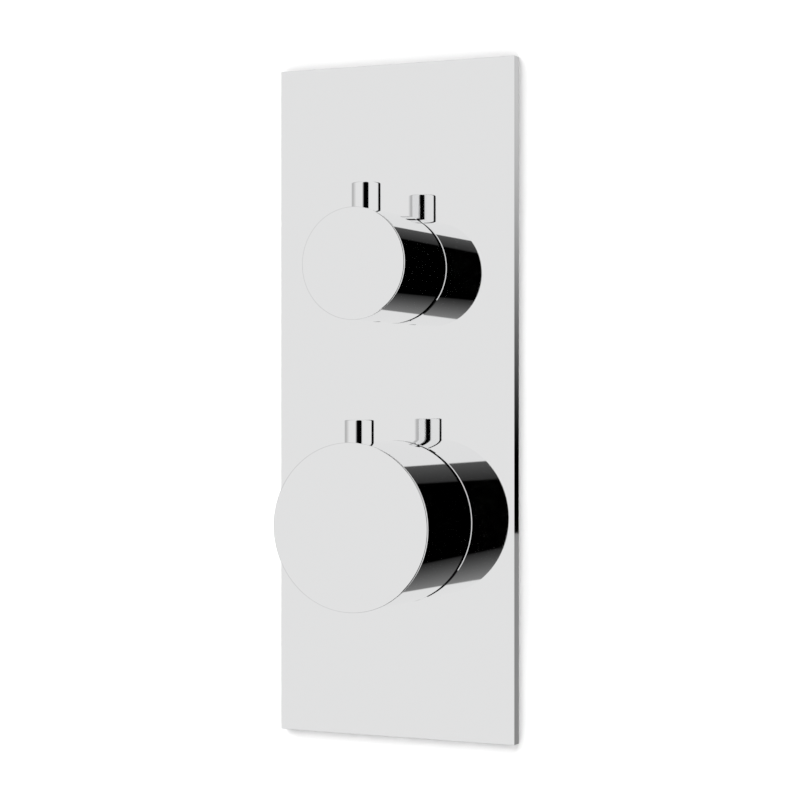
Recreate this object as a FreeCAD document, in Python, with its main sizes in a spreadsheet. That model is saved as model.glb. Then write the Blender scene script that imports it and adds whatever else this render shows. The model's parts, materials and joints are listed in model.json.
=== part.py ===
import FreeCAD, Part
import os
import re
import Sketcher

# A concealed thermostatic shower valve: a mirror faceplate with two knobs, and the brass valve behind the wall.
# Millimetres. +X is the user's right, -Y points at the user, +Z is up. The origin is the centre of the faceplate's
# back face, on the finished wall. Stations along a control's axis are counted from the wall towards the user, so
# what is in the wall has negative stations.

SIZES = (
    # Faceplate and the gasket round its back
    ("plate_width", 118), ("plate_height", 310), ("plate_thickness", 5), ("plate_edge_break", 0.4),
    ("gasket_inset", 4), ("gasket_width", 3), ("gasket_depth", 2),
    # The two control axes, above and below the faceplate's centre
    ("flow_rise", 60.5), ("temperature_drop", 56),
    # Knobs
    ("temperature_knob_radius", 37.5), ("temperature_knob_length", 47.7),
    ("flow_knob_radius", 25), ("flow_knob_length", 44.4),
    ("knob_gap", 1.5), ("knob_wall", 3), ("knob_front", 4), ("knob_edge_break", 0.4), ("hub_wall", 4),
    # Peg levers, each on a stud screwed into the knob
    ("lever_radius", 6.6), ("lever_edge_break", 0.5), ("stud_radius", 3), ("stud_depth", 12), ("stud_boss_wall", 3),
    ("temperature_lever_setback", 10.3), ("temperature_lever_rise", 9.9),
    ("flow_lever_setback", 14.2), ("flow_lever_rise", 11.7),
    # Grub screws under the knobs
    ("grub_radius", 2), ("grub_length", 4), ("grub_key_across", 2), ("grub_key_depth", 2), ("key_hole_radius", 1.8),
    ("grub_setback", 4), ("hub_clearance", 3),
    # Cartridge necks, the sleeves screwed on them and the sleeves' seals
    ("neck_radius", 15), ("neck_stand", 8.5), ("sleeve_wall", 4), ("sleeve_tuck", 3.5),
    ("plate_hole_gap", 1), ("seal_width", 2.4), ("seal_seat_depth", 1.4),
    # Spindles: a screw or drive end, a collar behind the bonnet's shoulder, and a splined end
    ("spindle_radius", 5.5), ("collar_radius", 8.5), ("collar_thickness", 3), ("shoulder_depth", 1),
    ("washer_thickness", 1), ("spline_teeth", 20), ("tooth_depth", 0.6), ("tooth_width", 0.8),
    ("spline_length", 14), ("spindle_stand", 15.5),
    ("circlip_thickness", 1), ("circlip_bite", 0.7), ("circlip_width", 2.6),
    ("spindle_seal_width", 1.8), ("spindle_seal_depth", 1.5),
    # Spline adaptors and stop rings; the turns are those the stops allow
    ("adaptor_wall", 3.4), ("adaptor_length", 14.5), ("stop_arm_width", 6), ("stop_arm_thickness", 3),
    ("stop_arm_reach", 3.2),
    ("stop_ring_thickness", 3.3), ("stop_ring_wall", 3.4), ("stop_lug_stand", 5), ("stop_play", 1),
    ("coldest_turn", 135), ("hottest_turn", 60), ("outlet_turn", 90),
    # Valve body: chambers and what closes them
    ("mouth_depth", 8), ("boss_radius", 25), ("nut_thickness", 4),
    ("mouth_radius", 19), ("mouth_length", 13), ("bonnet_across", 42), ("bonnet_seal_width", 2),
    ("chamber_radius", 17), ("seat_step", 2), ("chamber_end", 56), ("pocket_floor_gap", 1.5),
    ("groove_depth", 2.5), ("window_width", 5), ("window_spread", 6), ("window_height", 9),
    # Valve body: waterway, outlets, inlets and ribs
    ("waterway_radius", 5.5), ("waterway_clearance", 0.5), ("pipe_wall", 5.5),
    ("inlet_depth", 38), ("inlet_reach", 58), ("inlet_radius", 14),
    ("top_outlet_reach", 52), ("side_outlet_reach", 50), ("nut_flats_across", 27), ("nut_flats_length", 16),
    ("pipe_thread_radius", 9.3155), ("pipe_thread_length", 15), ("web_thickness", 7), ("web_depth", 46),
    ("casting_edge", 1.2), ("root_flare", 2.2), ("nut_face_break", 0.4), ("sleeve_edge_break", 0.5),
    # Wall bracket and its screws
    ("bracket_gap", 0.5), ("bracket_thickness", 3), ("bracket_width", 64), ("bracket_height", 220),
    ("bracket_corner", 8),
    ("fixing_spread", 22), ("fixing_inset", 10), ("fixing_hole_radius", 2.75),
    ("screw_spread", 19.5), ("screw_radius", 2.5), ("screw_head_radius", 4.9), ("screw_head_height", 2.5),
    ("screw_length", 12),
    # Thermostatic cartridge
    ("cage_bore_radius", 13), ("nose_length", 10), ("cage_windows", 6),
    ("shuttle_travel_gap", 1.5), ("shuttle_length", 11), ("shuttle_wall", 2.5), ("shuttle_web", 2),
    ("flow_hole_across", 3.2), ("flow_hole_circle", 8.6), ("flow_holes", 6), ("shuttle_seal_depth", 1.2),
    ("seat_ring_wall", 2), ("seat_flange", 2), ("seat_flange_inset", 1),
    ("element_radius", 4), ("element_tail", 12), ("element_shoulder", 1.2), ("element_flange", 1.5),
    ("guide_radius", 3), ("guide_length", 3.5), ("piston_radius", 1.4),
    ("regulator_across", 19), ("regulator_front_gap", 2), ("regulator_thread_length", 7),
    ("regulator_bore_radius", 7.6), ("regulator_length", 22.5), ("thread_end_gap", 0.5),
    ("cap_thickness", 1.5), ("cap_boss_radius", 4.4), ("cap_boss_length", 3.4),
    ("overload_clip_setback", 0.6), ("overload_clip_bite", 0.5), ("overload_clip_radius", 6.3),
    ("wire", 1.2), ("return_coil_radius", 6.1), ("return_turns", 4), ("overload_coil_radius", 6.2),
    ("overload_turns", 3), ("shuttle_seal_width", 1.8), ("cage_seal_inset", 4.5),
    # Flow cartridge
    ("shell_radius", 13.8), ("shell_bore_radius", 12.4), ("shell_windows", 6), ("shell_window_length", 8),
    ("shell_window_width", 7), ("flow_floor", 50), ("floor_seal_thickness", 2), ("fixed_disc_thickness", 4.5),
    ("moving_disc_thickness", 4), ("moving_disc_radius", 11), ("disc_film", 0.03),
    ("port_radius", 3.2), ("port_offset", 7), ("drive_width", 4), ("drive_span", 14), ("drive_depth", 2),
    ("drive_gap", 0.5), ("shell_collar", 4), ("passage_radius", 4), ("passage_offset", 5),
    ("feed_radius", 2.8), ("feed_offset", 14),
    # Check valves and strainers in the inlets
    ("check_bore_radius", 8.5), ("check_bore_gap", 4), ("check_cage_wall", 1.2), ("check_cage_length", 13),
    ("strainer_gap", 1), ("check_seat_radius", 5), ("check_plate", 1.5), ("poppet_radius", 6),
    ("poppet_thickness", 2), ("stem_radius", 1.6), ("check_wire", 0.7), ("check_coil_radius", 3.2),
    ("check_turns", 3), ("strainer_thickness", 1), ("strainer_rim", 2.5), ("strainer_hole_across", 2.2),
    ("strainer_holes", 8), ("strainer_circle", 4.6), ("check_holes", 4), ("stem_overhang", 0.5),
    # Clearances for what moves and how far a cutter runs past a face
    ("slide_gap", 0.05), ("moving_gap", 0.3), ("hole_overrun", 1),
)

doc = FreeCAD.newDocument("ThermostaticShowerValve")
sheet = doc.addObject("Spreadsheet::Sheet", "Sizes")
for row, (name, value) in enumerate(SIZES, 1):
    sheet.set("A%d" % row, name)
    sheet.set("B%d" % row, str(value))
    sheet.setAlias("B%d" % row, name)
doc.recompute()
names = {name for name, value in SIZES}

X_AXIS = FreeCAD.Vector(1, 0, 0)
Y_AXIS = FreeCAD.Vector(0, 1, 0)
# How a piece's own Z axis lies on the object
FACING = {
    "user": FreeCAD.Rotation(X_AXIS, 90),
    "right": FreeCAD.Rotation(Y_AXIS, 90),
    "left": FreeCAD.Rotation(Y_AXIS, -90),
    "up": FreeCAD.Rotation(),
}
AXIS_HEIGHT = {"temperature": "-temperature_drop", "flow": "flow_rise", "plate": "0"}


# ---- Tying shapes to the sheet

def tied(text):
    """The same formula with each size read from the sheet."""
    return re.sub(r"[a-z_]+", lambda word: "Sizes." + word[0] if word[0] in names else word[0], text)


def bind(item, prop, formula):
    item.setExpression(prop, tied(formula))


def place(item, facing, x="0", y="0", z="0"):
    item.Placement = FreeCAD.Placement(FreeCAD.Vector(), FACING[facing])
    for letter, formula in (("x", x), ("y", y), ("z", z)):
        bind(item, "Placement.Base." + letter, formula)


# ---- Pieces made as bodies. In a body on a control's axis, x is right, y is up and z points at the user.

def new_piece(label, facing="user", x="0", y="0", z="0"):
    body = doc.addObject("PartDesign::Body", label)
    body.Label = label
    place(body, facing, x, y, z)
    return body


def on_axis(label, control):
    return new_piece(label, z=AXIS_HEIGHT[control])


def from_origin(body, role):
    return [item for item in body.Origin.OriginFeatures if item.Role == role][0]


def new_sketch(body, name, plane, offset="0", x="0", y="0"):
    """A sketch on one of the body's own planes, moved along its normal and within the plane."""
    sketch = body.newObject("Sketcher::SketchObject", name)
    sketch.AttachmentSupport = [(from_origin(body, plane), "")]
    sketch.MapMode = "FlatFace"
    for letter, formula in (("x", x), ("y", y), ("z", offset)):
        bind(sketch, "AttachmentOffset.Base." + letter, formula)
    return sketch


def draw(sketch, corners):
    """A closed outline; each corner is a pair of formulas."""
    first = sketch.GeometryCount
    count = len(corners)
    guess = [FreeCAD.Vector(index, index * index, 0) for index in range(count)]
    sketch.addGeometry([Part.LineSegment(guess[i], guess[(i + 1) % count]) for i in range(count)], False)
    for i in range(count):
        sketch.addConstraint(Sketcher.Constraint("Coincident", first + i, 2, first + (i + 1) % count, 1))
    for i, (x, y) in enumerate(corners):
        for kind, value, formula in (("DistanceX", guess[i].x, x), ("DistanceY", guess[i].y, y)):
            number = sketch.addConstraint(Sketcher.Constraint(kind, -1, 1, first + i, 1, value))
            bind(sketch, "Constraints[%d]" % number, formula)


def draw_circle(sketch, x, y, radius):
    number = sketch.addGeometry(Part.Circle(FreeCAD.Vector(1, 1, 0), FreeCAD.Vector(0, 0, 1), 1), False)
    for kind, formula in (("DistanceX", x), ("DistanceY", y)):
        limit = sketch.addConstraint(Sketcher.Constraint(kind, -1, 1, number, 3, 1.0))
        bind(sketch, "Constraints[%d]" % limit, formula)
    limit = sketch.addConstraint(Sketcher.Constraint("Radius", number, 1.0))
    bind(sketch, "Constraints[%d]" % limit, radius)


def rectangle(left, right, bottom, top):
    return [(left, bottom), (right, bottom), (right, top), (left, top)]


def hexagon(across):
    side = "(%s) / sqrt(3)" % across
    flat = "(%s) / 2" % across
    return [(side, "0"), (side + " / 2", flat), ("-" + side + " / 2", flat),
            ("-" + side, "0"), ("-" + side + " / 2", "-" + flat), (side + " / 2", "-" + flat)]


def turned(body, name, *outlines, cut=False):
    """Outlines of (radius, station), spun about the body's Z axis."""
    sketch = new_sketch(body, name + "Profile", "XZ_Plane")
    for outline in outlines:
        draw(sketch, outline)
    kind = "PartDesign::Groove" if cut else "PartDesign::Revolution"
    feature = body.newObject(kind, name)
    feature.Profile = sketch
    feature.ReferenceAxis = (sketch, ["V_Axis"])
    feature.Angle = 360
    return feature


def raised(body, name, sketch, length, back=False):
    feature = body.newObject("PartDesign::Pad", name)
    feature.Profile = sketch
    bind(feature, "Length", length)
    feature.Reversed = back
    return feature


def cut_out(body, name, sketch, length=None, ahead=False):
    """A pocket against the sketch's normal, or along it when ahead."""
    feature = body.newObject("PartDesign::Pocket", name)
    feature.Profile = sketch
    feature.Reversed = ahead
    if length is None:
        feature.Type = "ThroughAll"
    else:
        bind(feature, "Length", length)
    return feature


def round_the_axis(body, name, feature, count):
    pattern = body.newObject("PartDesign::PolarPattern", name)
    pattern.Originals = [feature]
    pattern.Axis = (from_origin(body, "Z_Axis"), [""])
    pattern.Angle = 360
    bind(pattern, "Occurrences", count)
    body.Tip = pattern
    return pattern


def ring(label, control, inner, outer, back, front):
    body = on_axis(label, control)
    turned(body, label + "_ring", rectangle(inner, outer, back, front))
    return body


# ---- Pieces made from plain solids

def cylinder(name, facing, radius, height, x="0", y="0", z="0", arc="360"):
    solid = doc.addObject("Part::Cylinder", name)
    place(solid, facing, x, y, z)
    bind(solid, "Radius", radius)
    bind(solid, "Height", height)
    bind(solid, "Angle", arc)
    return solid


def block(name, size, x, y, z):
    solid = doc.addObject("Part::Box", name)
    place(solid, "up", x, y, z)
    for prop, formula in zip(("Length", "Width", "Height"), size):
        bind(solid, prop, formula)
    return solid


def cone(name, facing, start_radius, end_radius, height, x="0", y="0", z="0"):
    solid = doc.addObject("Part::Cone", name)
    place(solid, facing, x, y, z)
    bind(solid, "Radius1", start_radius)
    bind(solid, "Radius2", end_radius)
    bind(solid, "Height", height)
    return solid


def hex_block(name, facing, across, height, x="0", y="0", z="0"):
    solid = doc.addObject("Part::Prism", name)
    solid.Polygon = 6
    place(solid, facing, x, y, z)
    bind(solid, "Circumradius", "(%s) / sqrt(3)" % across)
    bind(solid, "Height", height)
    return solid


def hex_end(name, facing, **at):
    """Spanner flats for a pipe end, with the corners of the outer face turned off."""
    flats = hex_block(name + "_hexagon", facing, "nut_flats_across", "nut_flats_length", **at)
    face = "(nut_flats_across / 2 - nut_face_break)"
    taper = cone(name + "_taper", facing, "%s + nut_flats_length * sqrt(3)" % face, face, "nut_flats_length", **at)
    item = doc.addObject("Part::MultiCommon", name)
    item.Shapes = [flats, taper]
    return item


def joined(name, solids):
    item = doc.addObject("Part::MultiFuse", name)
    item.Shapes = solids
    item.Refine = True
    return item


def less(name, base, tool):
    item = doc.addObject("Part::Cut", name)
    item.Base = base
    item.Tool = tool
    item.Label = name
    return item


# ---- Stations and radii that several pieces share

knob_back = "(plate_thickness + knob_gap)"
neck_end = "(plate_thickness + neck_stand)"
sleeve_bore = "(neck_radius + slide_gap)"
sleeve_radius = "(neck_radius + slide_gap + sleeve_wall)"
plate_hole = "(neck_radius + slide_gap + sleeve_wall + plate_hole_gap)"
shoulder = "(-shoulder_depth)"
collar_front = "(-shoulder_depth - washer_thickness)"
collar_back = "(-shoulder_depth - washer_thickness - collar_thickness)"
clip_back = "(plate_thickness + neck_stand + slide_gap)"
clip_front = "(plate_thickness + neck_stand + slide_gap + circlip_thickness)"
spindle_end = "(plate_thickness + neck_stand + spindle_stand)"
adaptor_back = "(plate_thickness + neck_stand + circlip_thickness + 4 * slide_gap)"
adaptor_front = "(plate_thickness + neck_stand + circlip_thickness + 4 * slide_gap + adaptor_length)"
adaptor_bore = "(spindle_radius + slide_gap)"
adaptor_radius = "(spindle_radius + slide_gap + adaptor_wall)"
hub_bore = "(spindle_radius + 2 * slide_gap + adaptor_wall)"
hub_radius = "(spindle_radius + 2 * slide_gap + adaptor_wall + hub_wall)"
hub_back = "(plate_thickness + neck_stand + stop_lug_stand + hub_clearance)"
grub_line = "(plate_thickness + neck_stand + circlip_thickness + 4 * slide_gap + adaptor_length - grub_setback)"
spline_start = "(plate_thickness + neck_stand + spindle_stand - spline_length)"
sleeve_end = "(plate_thickness + neck_stand - stop_ring_thickness - slide_gap)"
gland_radius = "(spindle_radius + spindle_seal_depth)"
gland_back = "(plate_thickness + neck_stand - slide_gap - spindle_seal_width)"
mouth_front = "(-mouth_depth)"
mouth_back = "(-mouth_depth - mouth_length)"
nose_end = "(-mouth_depth - mouth_length - nose_length)"
chamber_back = "(-chamber_end)"
outlet_depth = "(chamber_end + waterway_clearance + waterway_radius)"
pocket_end = "(%s + waterway_radius + pocket_floor_gap)" % outlet_depth
body_depth = "(%s + nut_flats_across / 2 + bracket_gap)" % outlet_depth
check_end = "(inlet_reach - pipe_thread_length - strainer_gap - strainer_rim)"
check_start = "(%s - check_cage_length)" % check_end
check_bore_end = "(%s - check_bore_gap)" % check_start
cold_line = "(-inlet_depth + window_spread)"
hot_line = "(-inlet_depth - window_spread)"
shuttle_front = "(-mouth_depth - mouth_length - nose_length - shuttle_travel_gap)"
shuttle_back = "(-mouth_depth - mouth_length - nose_length - shuttle_travel_gap - shuttle_length)"
web_front = "(-inlet_depth + shuttle_web / 2)"
web_back = "(-inlet_depth - shuttle_web / 2)"
hot_seat_face = "(-mouth_depth - mouth_length - nose_length - 2 * shuttle_travel_gap - shuttle_length)"
seat_flange_front = "(-chamber_end + seat_flange_inset + seat_flange)"
regulator_front = "(-shoulder_depth - washer_thickness - collar_thickness - regulator_front_gap)"
regulator_back = "(%s - regulator_length)" % regulator_front
thread_back = "(%s - regulator_thread_length)" % regulator_front
overload_clip_back = "(%s + overload_clip_setback)" % regulator_back
cap_back = "(%s + overload_clip_setback + circlip_thickness)" % regulator_back
cap_front = "(%s + cap_thickness)" % cap_back
bracket_back = "(-%s - bracket_thickness)" % body_depth
disc_seal_front = "(-flow_floor + floor_seal_thickness)"
fixed_disc_front = "(-flow_floor + floor_seal_thickness + fixed_disc_thickness)"
moving_disc_back = "(%s + disc_film)" % fixed_disc_front
moving_disc_front = "(%s + moving_disc_thickness)" % moving_disc_back


# ---- Faceplate

def make_faceplate():
    body = on_axis("faceplate", "plate")
    sketch = new_sketch(body, "PlateOutline", "XY_Plane")
    draw(sketch, rectangle("-plate_width / 2", "plate_width / 2", "-plate_height / 2", "plate_height / 2"))
    for control in ("temperature", "flow"):
        draw_circle(sketch, "0", AXIS_HEIGHT[control], plate_hole)
    plate = raised(body, "Plate", sketch, "plate_thickness")
    doc.recompute()
    front = [number for number, edge in enumerate(plate.Shape.Edges, 1)
             if edge.BoundBox.ZMin > plate.Length.Value / 2 and edge.Curve.TypeId == "Part::GeomLine"]
    edge_break = body.newObject("PartDesign::Chamfer", "PlateEdgeBreak")
    edge_break.Base = (plate, ["Edge%d" % number for number in front])
    bind(edge_break, "Size", "plate_edge_break")
    groove = new_sketch(body, "GrooveOutline", "XY_Plane")
    draw_gasket(groove)
    cut_out(body, "GasketGroove", groove, "gasket_depth", ahead=True)


def draw_gasket(sketch):
    for inset in ("gasket_inset", "(gasket_inset + gasket_width)"):
        half_width = "(plate_width / 2 - %s)" % inset
        half_height = "(plate_height / 2 - %s)" % inset
        draw(sketch, rectangle("-" + half_width, half_width, "-" + half_height, half_height))


def make_gasket():
    body = on_axis("faceplate_gasket", "plate")
    sketch = new_sketch(body, "GasketOutline", "XY_Plane")
    draw_gasket(sketch)
    raised(body, "Gasket", sketch, "gasket_depth")


# ---- Knobs, levers and grub screws

def knob_front(control):
    return "(plate_thickness + knob_gap + %s_knob_length)" % control


def lever_line(control):
    return "(%s - %s_lever_setback)" % (knob_front(control), control)


def make_knob(control):
    """A deep cup, with a hub for the adaptor and a radial pillar for the lever's stud."""
    radius = control + "_knob_radius"
    front = knob_front(control)
    inside = "(%s - knob_wall)" % radius
    floor = "(%s - knob_front)" % front
    body = on_axis(control + "_knob", control)
    turned(body, "KnobCup", [
        ("0", hub_back), (hub_radius, hub_back), (hub_radius, floor), (inside, floor), (inside, knob_back),
        (radius, knob_back), (radius, "%s - knob_edge_break" % front),
        ("%s - knob_edge_break" % radius, front), ("0", front)])
    pillar = new_sketch(body, "PillarOutline", "XZ_Plane")
    draw_circle(pillar, "0", lever_line(control), "stud_radius + stud_boss_wall")
    raised(body, "StudPillar", pillar, "%s - knob_wall / 2" % radius, back=True)
    socket = new_sketch(body, "SocketOutline", "XY_Plane")
    draw_circle(socket, "0", "0", hub_bore)
    cut_out(body, "AdaptorSocket", socket, "%s + slide_gap" % adaptor_front, ahead=True)
    stud_hole = new_sketch(body, "StudHoleOutline", "XZ_Plane", offset="stud_depth - %s" % radius)
    draw_circle(stud_hole, "0", lever_line(control), "stud_radius")
    cut_out(body, "StudHole", stud_hole, "stud_depth + hole_overrun")
    for name, start, size in (("Grub", "0", "grub_radius"), ("Key", hub_radius, "key_hole_radius")):
        outline = new_sketch(body, name + "HoleOutline", "XZ_Plane", offset=start)
        draw_circle(outline, "0", grub_line, size)
        reach = "%s + hole_overrun" % (hub_radius if name == "Grub" else radius)
        cut_out(body, name + "Hole", outline, reach, ahead=True)


def make_lever(control):
    """A round peg whose foot follows the knob's side, on a stud that screws into the pillar."""
    radius = control + "_knob_radius"
    line = lever_line(control)
    body = on_axis(control + "_lever", control)
    peg = new_sketch(body, "PegOutline", "XZ_Plane", offset="lever_radius - %s" % radius)
    draw_circle(peg, "0", line, "lever_radius")
    pad = raised(body, "Peg", peg, "lever_radius + %s_lever_rise" % control, back=True)
    doc.recompute()
    top = [number for number, edge in enumerate(pad.Shape.Edges, 1)
           if edge.BoundBox.YMin > pad.Shape.BoundBox.YMax - pad.Length.Value / 2]
    edge_break = body.newObject("PartDesign::Chamfer", "PegEdgeBreak")
    edge_break.Base = (pad, ["Edge%d" % number for number in top])
    bind(edge_break, "Size", "lever_edge_break")
    foot = new_sketch(body, "FootOutline", "XY_Plane")
    draw_circle(foot, "0", "0", radius)
    cut_out(body, "Foot", foot, "%s + hole_overrun" % knob_front(control), ahead=True)
    stud = new_sketch(body, "StudOutline", "XZ_Plane", offset="stud_depth - %s" % radius)
    draw_circle(stud, "0", line, "stud_radius")
    raised(body, "Stud", stud, "stud_depth + %s_lever_rise / 2" % control, back=True)


def make_grub_screw(control):
    body = on_axis(control + "_grub_screw", control)
    end = new_sketch(body, "GrubOutline", "XZ_Plane", offset=adaptor_radius)
    draw_circle(end, "0", grub_line, "grub_radius")
    raised(body, "Grub", end, "grub_length")
    key = new_sketch(body, "KeyOutline", "XZ_Plane", offset="%s + grub_length" % adaptor_radius, y=grub_line)
    draw(key, hexagon("grub_key_across"))
    cut_out(body, "KeyRecess", key, "grub_key_depth")


# ---- What joins a knob to its cartridge

def make_sleeve(control):
    """The chromed tube screwed on the cartridge's neck; its seal grips the faceplate's hole."""
    groove_back = "(plate_thickness / 2 - seal_width / 2)"
    groove_front = "(plate_thickness / 2 + seal_width / 2)"
    groove_floor = "(%s - seal_seat_depth)" % sleeve_radius
    body = on_axis(control + "_sleeve", control)
    turned(body, "Sleeve", [
        (sleeve_bore, "-sleeve_tuck"), (sleeve_radius, "-sleeve_tuck"), (sleeve_radius, groove_back),
        (groove_floor, groove_back), (groove_floor, groove_front), (sleeve_radius, groove_front),
        (sleeve_radius, "%s - sleeve_edge_break" % sleeve_end),
        ("%s - sleeve_edge_break" % sleeve_radius, sleeve_end), (sleeve_bore, sleeve_end)])
    ring(control + "_sleeve_seal", control, groove_floor, plate_hole, groove_back, groove_front)


def make_stop_ring(control, forward_turn, back_turn):
    """A ring on the neck whose lug fills what the adaptor's arm doesn't sweep."""
    outer = "(%s + stop_ring_wall)" % sleeve_bore
    arm_arc = "2 * asin(stop_arm_width / 2 / %s) / 1 deg" % sleeve_bore
    lug_arc = "(360 - %s - %s - %s - stop_play)" % (forward_turn, back_turn, arm_arc)
    lug_start = "(270 + (%s - %s) / 2 - %s / 2)" % (forward_turn, back_turn, lug_arc)
    body = ring(control + "_stop_ring", control, sleeve_bore, outer, "%s - stop_ring_thickness" % neck_end, neck_end)
    sketch = new_sketch(body, "LugProfile", "XZ_Plane")
    sketch.AttachmentOffset = FreeCAD.Placement(FreeCAD.Vector(), FreeCAD.Rotation(Y_AXIS, 90))
    bind(sketch, "AttachmentOffset.Rotation.Angle", lug_start)
    draw(sketch, rectangle(sleeve_bore, outer, "%s - stop_ring_thickness / 2" % neck_end,
                           "%s + stop_lug_stand" % neck_end))
    lug = body.newObject("PartDesign::Revolution", "Lug")
    lug.Profile = sketch
    lug.ReferenceAxis = (sketch, ["V_Axis"])
    bind(lug, "Angle", lug_arc)


def make_adaptor(control):
    """A plastic bush with splines inside, a stop arm at its back and a flat for the grub screw."""
    body = on_axis(control + "_spline_adaptor", control)
    turned(body, "Bush", rectangle("0", adaptor_radius, adaptor_back, adaptor_front))
    arm = new_sketch(body, "ArmOutline", "XY_Plane", offset=adaptor_back)
    draw(arm, rectangle("-stop_arm_width / 2", "stop_arm_width / 2", "0", "%s + stop_arm_reach" % sleeve_bore))
    raised(body, "StopArm", arm, "stop_arm_thickness")
    bore = new_sketch(body, "BoreOutline", "XY_Plane")
    draw_circle(bore, "0", "0", adaptor_bore)
    cut_out(body, "Bore", bore, "%s + hole_overrun" % adaptor_front, ahead=True)
    tooth = new_sketch(body, "ToothOutline", "XY_Plane", offset=spline_start)
    half_tooth = "(tooth_width / 2 - slide_gap)"
    draw(tooth, [("-" + half_tooth, "%s + adaptor_wall / 2" % adaptor_bore),
                 ("-%s / 2" % half_tooth, "spindle_radius - tooth_depth + slide_gap"),
                 ("%s / 2" % half_tooth, "spindle_radius - tooth_depth + slide_gap"),
                 (half_tooth, "%s + adaptor_wall / 2" % adaptor_bore)])
    first = raised(body, "Tooth", tooth, "%s - %s" % (adaptor_front, spline_start))
    round_the_axis(body, "Teeth", first, "spline_teeth")


def spindle_front():
    """Outline of every spindle from its collar to its splined end."""
    waist = "(spindle_radius - circlip_bite)"
    return [("spindle_radius", collar_back), ("collar_radius", collar_back), ("collar_radius", collar_front),
            ("spindle_radius", collar_front), ("spindle_radius", clip_back), (waist, clip_back),
            (waist, clip_front), ("spindle_radius", clip_front), ("spindle_radius", spindle_end),
            ("0", spindle_end)]


def make_spindle(control, back_end):
    body = on_axis(control + "_spindle", control)
    turned(body, "Spindle", [("0", back_end), ("spindle_radius", back_end)] + spindle_front())
    if control == "flow":
        tongue = new_sketch(body, "TongueOutline", "XY_Plane", offset="%s - drive_depth" % moving_disc_front)
        draw_tongue(tongue, "0")
        raised(body, "DriveTongue", tongue, "2 * drive_depth + drive_gap")
    groove = new_sketch(body, "GrooveOutline", "XY_Plane", offset=spindle_end)
    draw(groove, [("-tooth_width / 2", "spindle_radius + tooth_depth"),
                  ("-tooth_width / 4", "spindle_radius - tooth_depth"),
                  ("tooth_width / 4", "spindle_radius - tooth_depth"),
                  ("tooth_width / 2", "spindle_radius + tooth_depth")])
    first = cut_out(body, "SplineGroove", groove, "spline_length")
    round_the_axis(body, "Splines", first, "spline_teeth")


def draw_tongue(sketch, gap):
    half_span = "(drive_span / 2 + %s)" % gap
    half_width = "(drive_width / 2 + %s)" % gap
    draw(sketch, rectangle("-" + half_span, half_span, "-" + half_width, half_width))


def make_spindle_fittings(control):
    """The circlip, thrust washer and seal that hold a spindle in its bonnet."""
    waist = "(spindle_radius - circlip_bite)"
    clip = ring(control + "_circlip", control, waist, "%s + circlip_width" % waist, clip_back, clip_front)
    gap = new_sketch(clip, "GapOutline", "XY_Plane")
    draw(gap, rectangle("-circlip_width / 2", "circlip_width / 2", "-spindle_radius - circlip_width", "0"))
    cut_out(clip, "ClipGap", gap, "%s + hole_overrun" % clip_front, ahead=True)
    ring(control + "_thrust_washer", control, "spindle_radius + slide_gap", "collar_radius",
         "%s + slide_gap" % collar_front, shoulder)
    ring(control + "_spindle_seal", control, "spindle_radius + slide_gap", gland_radius,
         gland_back, "%s - slide_gap" % neck_end)


def make_bonnet(control, rear_outline):
    """The brass nut that closes a chamber, with the neck that carries the sleeve and the stop ring."""
    bore = "(spindle_radius + slide_gap)"
    body = on_axis(control + "_bonnet", control)
    turned(body, "Bonnet", rear_outline + [
        ("(mouth_radius - slide_gap)", mouth_back), ("(mouth_radius - slide_gap)", mouth_front),
        ("neck_radius", mouth_front), ("neck_radius", neck_end), (gland_radius, neck_end),
        (gland_radius, gland_back), (bore, gland_back)])
    nut = new_sketch(body, "NutOutline", "XY_Plane", offset=mouth_front)
    draw(nut, hexagon("bonnet_across"))
    draw_circle(nut, "0", "0", "neck_radius - circlip_width")
    raised(body, "Nut", nut, "nut_thickness")
    face = "(bonnet_across / 2 - nut_face_break)"
    front = "(%s + nut_thickness)" % mouth_front
    turned(body, "NutTaper", [(face, front), ("bonnet_across", front), (
        "bonnet_across", "%s - (bonnet_across - %s) / sqrt(3)" % (front, face))], cut=True)
    ring(control + "_bonnet_seal", control, "mouth_radius", "mouth_radius + bonnet_seal_width",
         "%s - bonnet_seal_width" % mouth_front, mouth_front)
    return body


# ---- Thermostatic cartridge

def make_thermostat_cartridge():
    nose_radius = "(cage_bore_radius - slide_gap)"
    bore = "(spindle_radius + slide_gap)"
    bonnet = make_bonnet("temperature", [(bore, nose_end), (nose_radius, nose_end), (nose_radius, mouth_back)])
    keyway = new_sketch(bonnet, "KeywayOutline", "XY_Plane", offset=shoulder)
    draw(keyway, hexagon("regulator_across + 2 * slide_gap"))
    cut_out(bonnet, "Keyway", keyway, "%s - %s + hole_overrun" % (shoulder, nose_end))
    make_regulator_nut()
    make_overload_unit()
    make_wax_element()
    make_shuttle()
    make_hot_seat()
    make_cage()


def make_regulator_nut():
    """The hexagonal nut that the spindle's screw drives along the bonnet's keyway."""
    body = on_axis("regulator_nut", "temperature")
    outline = new_sketch(body, "NutOutline", "XY_Plane", offset=regulator_back)
    draw(outline, hexagon("regulator_across"))
    raised(body, "Nut", outline, "regulator_length")
    thread = "(spindle_radius + slide_gap)"
    groove = "(regulator_bore_radius + overload_clip_bite)"
    turned(body, "NutBore", [
        ("0", "%s - hole_overrun" % regulator_back), ("regulator_bore_radius", "%s - hole_overrun" % regulator_back),
        ("regulator_bore_radius", overload_clip_back), (groove, overload_clip_back), (groove, cap_back),
        ("regulator_bore_radius", cap_back), ("regulator_bore_radius", thread_back), (thread, thread_back),
        (thread, "%s + hole_overrun" % regulator_front), ("0", "%s + hole_overrun" % regulator_front)], cut=True)


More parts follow.
